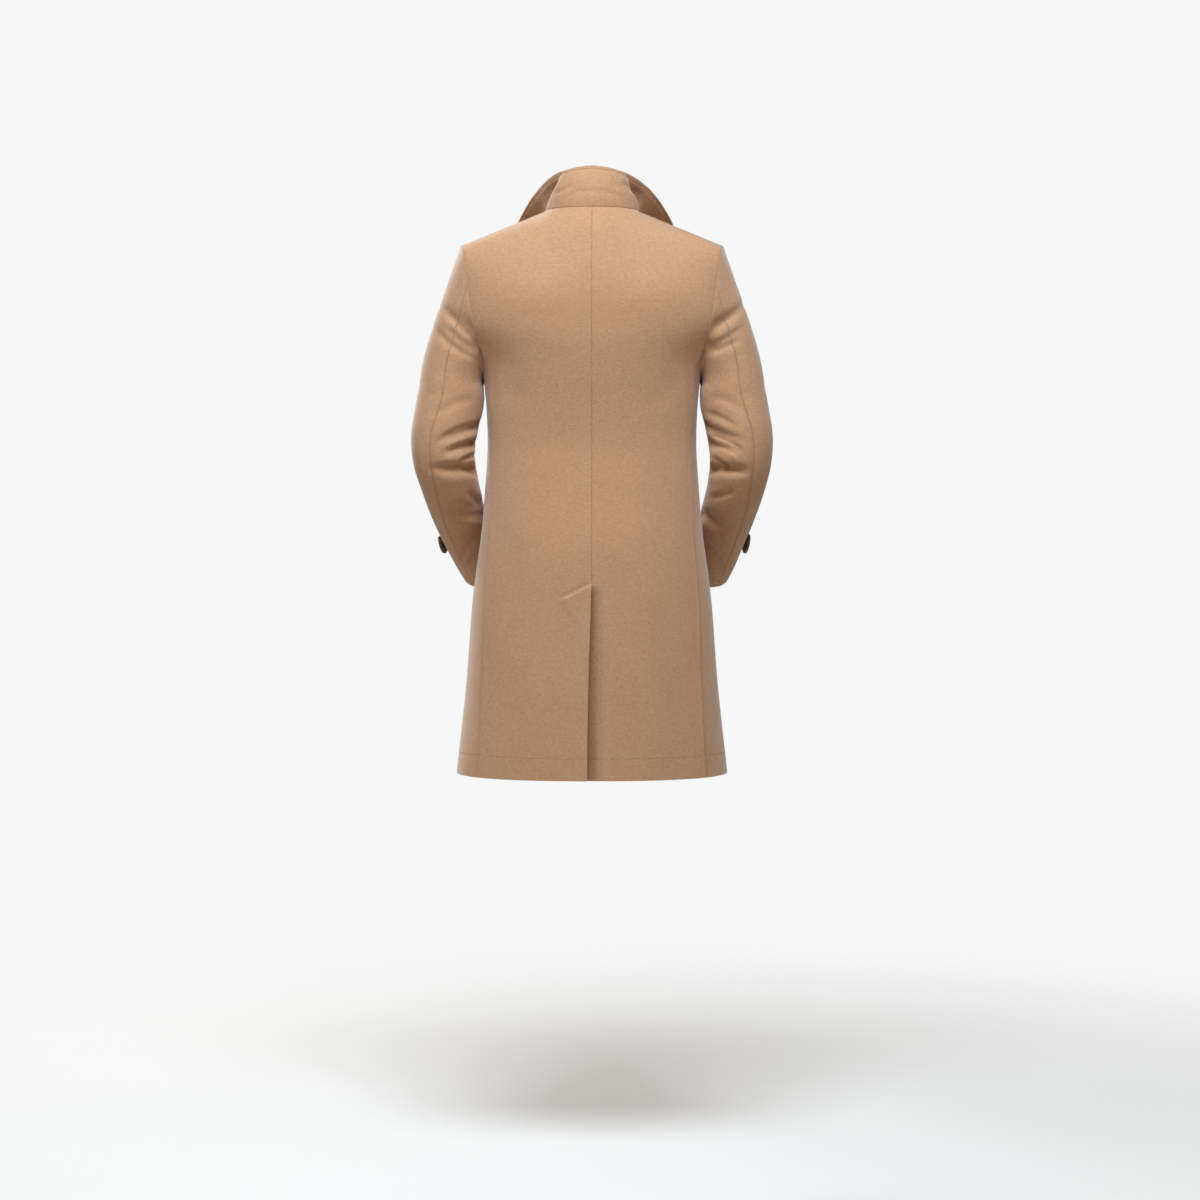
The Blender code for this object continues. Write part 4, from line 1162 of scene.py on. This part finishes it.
collarSettings = {
    "edge": table("along x y z swell", [
        (0.00, 0.000, 0.060, 0.0700, 0.004),
        (0.22, 0.041, 0.048, 0.0645, 0.004),
        (0.40, 0.068, 0.020, 0.0560, 0.002),
        (0.55, 0.091, -0.012, 0.0400, -0.002),
        (0.72, 0.115, -0.045, 0.0120, -0.006),
        (0.86, 0.134, -0.077, -0.0220, -0.008),
        (1.00, 0.145, -0.104, -0.0600, -0.008),
    ]),
    "rows": 5,
    "rimRows": 9,
    "rimStart": 0.83,
    "wingSpread": {1: 0.97, -1: 1.05},
    # wingShade, shadeRim, shadeLead, shadeSoft: painted shade on the collar wings, how dark on each side, and
    # where it starts and fades
    "wingShade": {1: 0.75, -1: 0.45},
    "shadeRim": 0.007,
    "shadeLead": 1.2,
    "shadeSoft": 1.3,
    "wingStart": 0.35,
    "wingBlend": 0.20,
    "seamTuck": (0.0026, 0.0014),      # the cloth runs on this far below its seam and inside the body
    "stitchInset": 0.0060,
    "grooveDepth": 0.0009,
    "grooveWidth": 0.0035,
    "columnsPerStep": 2,
    "tuckFoot": {1: 0.55, -1: 0.59},   # share of the collar where stand and wing part at the seam, and
    "tuckLean": 0.24,                  # how much nearer the centre they part at the top
    "tuckBefore": 0.050,
    "tuckAfter": 0.120,
    "tuck": table("climb depth", [
        (0.00, 0.000), (0.20, 0.006), (0.45, 0.013), (0.70, 0.013), (0.88, 0.004), (1.00, 0.000),
    ]),
    "creases": creaseTable([
        (0.048, 0.0235, -0.048, 0.0235, -0.010, 0.0060, 0.0010),
        (0.064, 0.0290, 0.030, 0.0450, 0.002, 0.0050, 0.0015),
        (-0.054, 0.0480, -0.083, 0.0280, 0.002, 0.0055, 0.0034),
        (-0.030, 0.0440, -0.056, 0.0400, 0.000, 0.0060, 0.0010),
    ]),
}


def collarHalf(settings, side):
    coarse = np.concatenate([backNeckline(), frontNeckline()[1:]])
    steps = np.linspace(0.0, len(coarse) - 1.0, (len(coarse) - 1) * settings["columnsPerStep"] + 1)
    seam = smoothCurve(np.arange(len(coarse)), coarse, steps)
    shares = np.linspace(0.0, 1.0, len(seam))
    names = ("along", "x", "y", "z", "swell")
    rows = np.stack([settings["edge"][name] for name in names], axis=1)
    beyond = rows[1] * np.array([-1.0, -1.0, 1.0, 1.0, 1.0])
    rows = np.concatenate([beyond[None], rows])
    read = smoothCurve(rows[:, 0], rows[:, 1:], shares)
    edge, swell = read[:, :3], read[:, 3]
    edge[:, 0] *= 1 + (settings["wingSpread"][side] - 1) * np.clip(
        (shares - settings["wingStart"]) / settings["wingBlend"], 0, 1)
    outward = -unit(np.cross(np.gradient(seam, axis=0), edge - seam))
    climbs = np.concatenate([np.linspace(0.0, settings["rimStart"], settings["rows"] * fine, endpoint=False),
                             np.linspace(settings["rimStart"], 1.0, settings["rimRows"])])
    grid = np.stack([seam + (edge - seam) * climb + outward * (swell * 4 * climb * (1 - climb))[:, None]
                     for climb in climbs])
    down, inside = settings["seamTuck"]
    hidden = seam - unit(edge - seam) * down - outward * inside
    grid = np.concatenate([hidden[None], grid])
    grid[:, 0, 0] = 0.0
    return grid, np.concatenate([[0.0], climbs]), shares


def makeCollar(settings):
    made, edges = [], {}
    for _, side in sides:
        mirror = mirrors[side]
        grid, climbs, shares = collarHalf(settings, side)
        normals = gridNormals(grid)
        fall = gap(grid, grid[-1:])
        groove = bell((fall - settings["stitchInset"]) / settings["grooveWidth"])
        away = shares[None, :] - settings["tuckFoot"][side] + settings["tuckLean"] * climbs[:, None]
        away = away / np.where(away < 0, settings["tuckBefore"], settings["tuckAfter"])
        deep = smoothCurve(settings["tuck"]["climb"], settings["tuck"]["depth"], climbs)
        shift = settings["grooveDepth"] * groove + deep[:, None] * bell(away)
        shift += creaseShift(grid * mirror, normals * mirror, settings["creases"], 1)
        moved = grid - normals * shift[..., None]
        moved[:, 0, 0] = 0.0
        line = np.minimum(np.abs(fall - settings["stitchInset"]), gap(grid, grid[1:2]))
        # painted shade: the wings from the tuck outward are darkened where the stand and the neck would shade
        # them, fading out to a lighter rim at the edge
        wing = softStep((away + settings["shadeLead"]) / settings["shadeSoft"])
        wing = wing * softStep(fall / settings["shadeRim"] - 0.5)
        made.append((moved * mirror, line, settings["wingShade"][side] * wing, grid * mirror))
        edges[side] = (moved, fall)
    joined, line, shaded, flat = [np.concatenate([right[:, ::-1][:, :-1], left], axis=1)
                                  for left, right in zip(*made)]
    piece = clothPiece("woolCollar", [joined], 1, coatCut["cloth"], "edgeRound", [line], [shaded])
    dress(piece, "wool", "collar")
    print("collar made")
    return edges


# Lapels: the fronts turned back over the chest, rolling round the front edge

lapelSettings = {
    "widths": table("climb width", [
        (0.00, 0.004), (0.25, 0.044), (0.50, 0.076), (0.75, 0.098), (1.00, 0.104),
    ]),
    "topRow": 6.8,
    "peakRows": -0.8,
    "columns": 7,
    "rows": 14,
    "cloth": 0.0032,
    "lift": 0.0034,
    "rollRadius": 0.0056,
    "taperFrom": 0.45,
    "taperOver": 0.14,
    "rollColumns": 8,
    "rollTurn": 0.94,         # share of half a turn
    "rollTail": 0.0018,
    "edgeStep": 0.0014,
    "edgeDrop": 0.0005,
    "wall": 0.0018,
    "stitchInset": 0.006,
    "stitchFrom": 0.02,       # stitched where it is wider than this
    "grooveDepth": 0.0008,
    "grooveWidth": 0.0035,
}


def lapelForm(front, settings):
    normals = gridNormals(front)
    edge = front.shape[1] - 1
    rows = []
    for row in range(settings["rows"] * fine + 1):
        climb = row / (settings["rows"] * fine)
        width = float(smoothCurve(settings["widths"]["climb"], settings["widths"]["width"], climb)[0])
        height = breakRow + (underarmRow + settings["topRow"] * fine - breakRow) * climb
        level = readGrid(front, np.full(edge + 1, height), np.arange(edge + 1.0))
        walked = walk(level[::-1])
        inner = 1 - settings["edgeStep"] / width
        shares = np.append(np.linspace(0.0, inner, settings["columns"] * fine), 1.0)
        place = edge - np.interp(width * shares, walked, np.arange(len(walked)))
        lift = settings["peakRows"] * fine * climb**3 * shares**2
        points = readGrid(front, height + lift, place)
        out = unit(readGrid(normals, height + lift, place))
        full = settings["taperFrom"] + (1 - settings["taperFrom"]) * softStep(climb / settings["taperOver"])
        onTop = points + out * (settings["cloth"] + settings["lift"] * full)
        toEdge = unit(points[0] - points[1])
        radius = settings["rollRadius"] * full
        centre = onTop[0] - out[0] * radius
        turns = np.linspace(math.pi * settings["rollTurn"], 0.0, settings["rollColumns"] + 1)[:-1, None]
        roll = centre + radius * (np.cos(turns) * out[0] + np.sin(turns) * toEdge)
        tail = roll[:1] - toEdge * settings["rollTail"]
        rows.append(np.concatenate([tail, roll, onTop])[::-1])
    return np.array(rows)


def makeLapels(settings):
    edges = {}
    for word, side in sides:
        grid = lapelForm(upperForm if side > 0 else frontForm, settings)
        inset = np.minimum(gap(grid, grid[:, :1]), gap(grid, grid[-1:]))
        groove = settings["grooveDepth"] * bell((inset - settings["stitchInset"]) / settings["grooveWidth"])
        eased = settings["edgeDrop"] * bell(inset / settings["edgeStep"])
        moved = grid - gridNormals(grid) * (groove + eased)[..., None]
        line = np.abs(inset - settings["stitchInset"])
        piece = clothPiece("woolLapel" + word, [moved], side, settings["wall"], "unbevelled", [line])
        dress(piece, "wool", "lapel_" + word.lower())
        edges[side] = moved
    print("lapels made")
    return edges


# Pocket welts: slanted strips sewn on the fronts

weltSettings = {
    "top": (0.112, -0.575),
    "foot": (0.140, -0.745),
    "width": 0.036,
    "cloth": 0.0035,
    "lift": 0.0012,
    "rows": 60,
    "columns": 18,
    "wall": 0.003,
    "stitchInset": 0.004,
    "stitchRun": 0.172,       # length that the stitches share out
    "pillow": 0.0012,
    "pillowSoft": 0.006,
}


def placeOnFront(front, x, height):
    columns = np.arange(float(front.shape[1]))
    row = np.interp(height, front[: underarmRow + 1, -1, 2], np.arange(underarmRow + 1))
    level = readGrid(front, np.full(front.shape[1], row), columns)
    return np.array(row), np.array(np.interp(-x, -level[:, 0], columns))


def makeWelts(settings, fronts):
    edges = {}
    top, foot, width = np.array(settings["top"]), np.array(settings["foot"]), settings["width"]
    length = np.linalg.norm(top - foot)
    along = (top - foot) / length
    across = np.array([along[1], -along[0]])
    for word, side in sides:
        front = fronts[side]
        normals = gridNormals(front)
        grid, line = [], []
        for row in range(settings["rows"] + 1):
            for column in range(settings["columns"] + 1):
                share, aside = row / settings["rows"], column / settings["columns"]
                spot = placeOnFront(front, *(foot + (top - foot) * share + across * width * (0.5 - aside)))
                rim = min(share * length, (1 - share) * length, aside * width, (1 - aside) * width)
                raised = settings["pillow"] * softStep(rim / settings["pillowSoft"])
                raised += settings["cloth"] + settings["lift"] - settings["pillow"]
                grid.append(readGrid(front, *spot) + unit(readGrid(normals, *spot)) * raised)
                line.append(abs(rim - settings["stitchInset"]))
        grid = np.reshape(grid, (settings["rows"] + 1, settings["columns"] + 1, 3))
        line = np.reshape(line, grid.shape[:2])
        piece = clothPiece("woolWelt" + word, [grid], side, settings["wall"], "edgeRound", [line])
        dress(piece, "wool", "pocket_welt_" + word.lower())
        edges[side] = grid
    print("welts made")
    return edges


# Buttons: turned horn with a raised rim and four holes, sewn on with brown thread

buttonSettings = {
    "rows": (-0.365, -0.480, -0.595),
    "rowX": 0.066,
    "radius": 0.0175,
    "thick": 0.0065,
    "rim": 0.0035,
    "dish": 0.0016,
    "profile": table("out rim up dish", [   # shares of radius less rim, and of thickness less dish
        (0.00, 0.00, 0.00, 0.0),
        (0.72, 0.00, 0.00, 0.0),
        (0.90, 0.00, 0.14, 0.0),
        (1.00, 0.00, 0.45, 0.0),
        (0.99, 0.00, 0.80, 0.0),
        (0.96, 0.00, 1.00, 0.0),
        (1.00, 0.55, 1.00, -0.125),
        (1.00, 1.00, 1.00, 0.0625),
        (1.00, 1.35, 1.00, 0.75),
        (1.00, 2.00, 1.00, 1.0),
        (0.00, 0.00, 1.00, 1.1),
    ]),
    "sides": 48,
    "weldDistance": 1e-6,
    "sharpFrom": 38,         # degrees
    "shank": 0.0018,
    "holeRadius": 0.0012,
    "holeOffset": 0.0031,
    "holeSides": 16,
    "threadRadius": 0.00085,
    "threadSharpFrom": 50,
    "strandRadius": 0.6,     # shares of the thread's radius
    "strandApart": 0.45,
    "strandRise": 0.35,
    "strandSides": 10,
    "postSpread": 1.15,      # of the holes' offset, at its foot
    "postLength": 1.2,       # of the shank
    "postSides": 14,
    "cuffHeight": -0.572,
    "cuffAngle": -14,
}


def addRod(shape, radii, length, count, place):
    return bmesh.ops.create_cone(shape, cap_ends=True, segments=count, radius1=radii[0], radius2=radii[1],
                                 depth=length, matrix=place)["verts"]


def buttonPiece(name, point, normal, settings):
    shape = bmesh.new()
    profile = settings["profile"]
    across = settings["radius"] * profile["out"] - settings["rim"] * profile["rim"]
    heights = settings["thick"] * profile["up"] - settings["dish"] * profile["dish"]
    corners = [shape.verts.new((x, 0.0, z)) for x, z in zip(across, heights)]
    edges = [shape.edges.new(pair) for pair in zip(corners[:-1], corners[1:])]
    bmesh.ops.spin(shape, geom=corners + edges, cent=(0, 0, 0), axis=(0, 0, 1), angle=2 * math.pi,
                   steps=settings["sides"], use_merge=True)
    bmesh.ops.remove_doubles(shape, verts=shape.verts, dist=settings["weldDistance"])
    bmesh.ops.recalc_face_normals(shape, faces=shape.faces)
    piece = meshObject(name, shape)
    bored = drillHoles(piece, settings)
    turned = Vector(normal).to_track_quat("Z", "Y").to_matrix().to_4x4()
    place = Matrix.Translation(Vector(point) + Vector(normal).normalized() * settings["shank"]) @ turned
    bored.transform(place)
    for face in bored.polygons:
        face.use_smooth = True
    bored.set_sharp_from_angle(angle=math.radians(settings["sharpFrom"]))
    bored.materials.clear()
    bored.materials.append(horn)
    piece.modifiers.clear()
    piece.data = bored
    return piece, place


def drillHoles(piece, settings):
    shape = bmesh.new()
    radii, offset = (settings["holeRadius"],) * 2, settings["holeOffset"]
    for quarter in range(4):
        turn = math.radians(45 + 90 * quarter)
        spot = Matrix.Translation((offset * math.cos(turn), offset * math.sin(turn), 0.0))
        addRod(shape, radii, settings["thick"] * 4, settings["holeSides"], spot)
    drill = meshObject("drill", shape)
    cut = piece.modifiers.new("holes", "BOOLEAN")
    cut.object = drill
    cut.operation = "DIFFERENCE"
    made = piece.evaluated_get(bpy.context.evaluated_depsgraph_get())
    bored = bpy.data.meshes.new_from_object(made)
    bpy.data.objects.remove(drill)
    return bored


def buttonThread(name, place, settings):
    shape = bmesh.new()
    offset = settings["holeOffset"] * math.sqrt(0.5)
    radius, shank = settings["threadRadius"], settings["shank"]
    level = settings["thick"] - settings["dish"] + radius * settings["strandRise"]
    radii, flat = (radius * settings["strandRadius"],) * 2, Matrix.Rotation(math.pi / 2, 4, "X")
    for across in (-offset, offset):
        for strand in (-radius, radius):
            lay = Matrix.Translation((across + strand * settings["strandApart"], 0.0, level))
            addRod(shape, radii, offset * 2, settings["strandSides"], lay @ flat)
    radii = settings["holeOffset"] * settings["postSpread"], settings["holeOffset"]
    post = Matrix.Translation((0.0, 0.0, -shank * 0.5))
    addRod(shape, radii, shank * settings["postLength"], settings["postSides"], post)
    bmesh.ops.transform(shape, matrix=place, verts=shape.verts)
    smoothFaces(shape)
    thread = meshObject(name, shape, brownThread)
    thread.data.set_sharp_from_angle(angle=math.radians(settings["threadSharpFrom"]))
    return thread


def makeButtons(settings, tubes):
    places = []
    out = gridNormals(upperForm)
    for number, height in enumerate(settings["rows"], 1):
        for word, side in sides:
            spot = placeOnFront(upperForm, settings["rowX"] * side, height)
            places.append((f"{word}{number}", f"button_{word.lower()}_{number}",
                           readGrid(upperForm, *spot), readGrid(out, *spot)))
    for word, side in sides:
        tube, capRows = tubes[side], sleeveCut["capRows"] * fine
        row = np.interp(-settings["cuffHeight"], -tube[capRows:, 0, 2], np.arange(capRows, len(tube)))
        spot = np.array(row), np.array(len(loopForm) * (1 + settings["cuffAngle"] / 360))
        point, normal = [readGrid(grid, *spot) * mirrors[side] for grid in (tube, tubeNormals(tube))]
        places.append((f"Cuff{word}", f"button_cuff_{word.lower()}", point, normal))
    for word, cadNode, point, normal in places:
        piece, place = buttonPiece("hornButton" + word, point, normal, settings)
        dress(piece, "button", cadNode)
        dress(buttonThread("buttonThread" + word, place, settings), "button")
    print("buttons made:", len(places))


# Stitches: rows of short threads along the collar, lapel and front edges and the welts

stitchSettings = {
    "pitch": 0.0046,
    "length": 0.0034,
    "radius": 0.00042,
    "sink": 0.00012,
    "bend": 0.9,             # share of the radius that the ends dip
    "sides": 6,
    "weltPoints": 80,
}


def stitchRow(shape, points, normals, settings):
    walked = walk(points)
    radius, length = settings["radius"], settings["length"]
    for number in range(int(walked[-1] / settings["pitch"])):
        middle = (number + 0.5) * settings["pitch"]
        start, stop = [Vector(pointsAt(walked, points, middle + end * length / 2)) for end in (-1, 1)]
        out = Vector(pointsAt(walked, normals, middle)).normalized()
        way = (stop - start).normalized()
        turned = Matrix((out.cross(way).normalized(), out, way)).transposed().to_4x4()
        centre = (start + stop) / 2 + out * (radius * 0.5 - settings["sink"])
        place = Matrix.Translation(centre) @ turned
        for vert in addRod(shape, (radius, radius), length, settings["sides"], place):
            away = (vert.co - centre).dot(way)
            vert.co -= out * radius * (away / length * 2) ** 2 * settings["bend"]


def sewRows(name, rows, settings):
    shape = bmesh.new()
    for side, points, normals in rows:
        stitchRow(shape, points * mirrors[side], normals * mirrors[side], settings)
    smoothFaces(shape)
    dress(meshObject(name, shape, camelThread), "wool")


def lineInGrid(grid, distances, wanted):
    points = []
    for column in range(grid.shape[1]):
        order = np.argsort(distances[:, column])
        points.append(pointsAt(distances[order, column], grid[order, column], wanted))
    return np.array(points)


def makeStitches(settings, fronts, collars, lapels, welts):
    grid = fronts[1][: breakRow + 1]   # the normals are those of a line of points a little inside the edge
    points = lineInGrid(grid.transpose(1, 0, 2), gap(grid, grid[:, -1:]).T, frontSettings["stitchInset"])
    sewRows("frontStitches", [(1, points, gridNormals(grid)[:, -3])], settings)
    rows = []
    for side, (grid, fall) in collars.items():
        rows.append((side, lineInGrid(grid, fall, collarSettings["stitchInset"]), gridNormals(grid)[-4]))
    sewRows("collarStitches", rows, settings)
    rows = []
    for side, grid in lapels.items():
        keep = gap(grid[:, 0], grid[:, -1]) > lapelSettings["stitchFrom"]
        inset = gap(grid, grid[:, :1])[keep]
        points = lineInGrid(grid[keep].transpose(1, 0, 2), inset.T, lapelSettings["stitchInset"])
        rows.append((side, points, gridNormals(grid)[keep][:, 3]))
    sewRows("lapelStitches", rows, settings)
    inset = weltSettings["stitchInset"] / weltSettings["width"] * weltSettings["columns"]
    margin = weltSettings["stitchInset"] / weltSettings["stitchRun"] * weltSettings["rows"]
    along = np.linspace(margin, weltSettings["rows"] - margin, settings["weltPoints"])
    rows = []
    for side, grid in welts.items():
        for column in (inset, weltSettings["columns"] - inset):
            spots = along, np.full(len(along), column)
            rows.append((side, readGrid(grid, *spots), readGrid(gridNormals(grid), *spots)))
    sewRows("weltStitches", rows, settings)
    print("stitches made")


makeBacks(backSettings)
frontEdges = makeFronts(frontSettings)
sleeveTubes = makeSleeves(sleeveSettings)
collarEdges = makeCollar(collarSettings)
lapelEdges = makeLapels(lapelSettings)
weltEdges = makeWelts(weltSettings, frontEdges)
makeButtons(buttonSettings, sleeveTubes)
makeStitches(stitchSettings, frontEdges, collarEdges, lapelEdges, weltEdges)

print("coat finished")
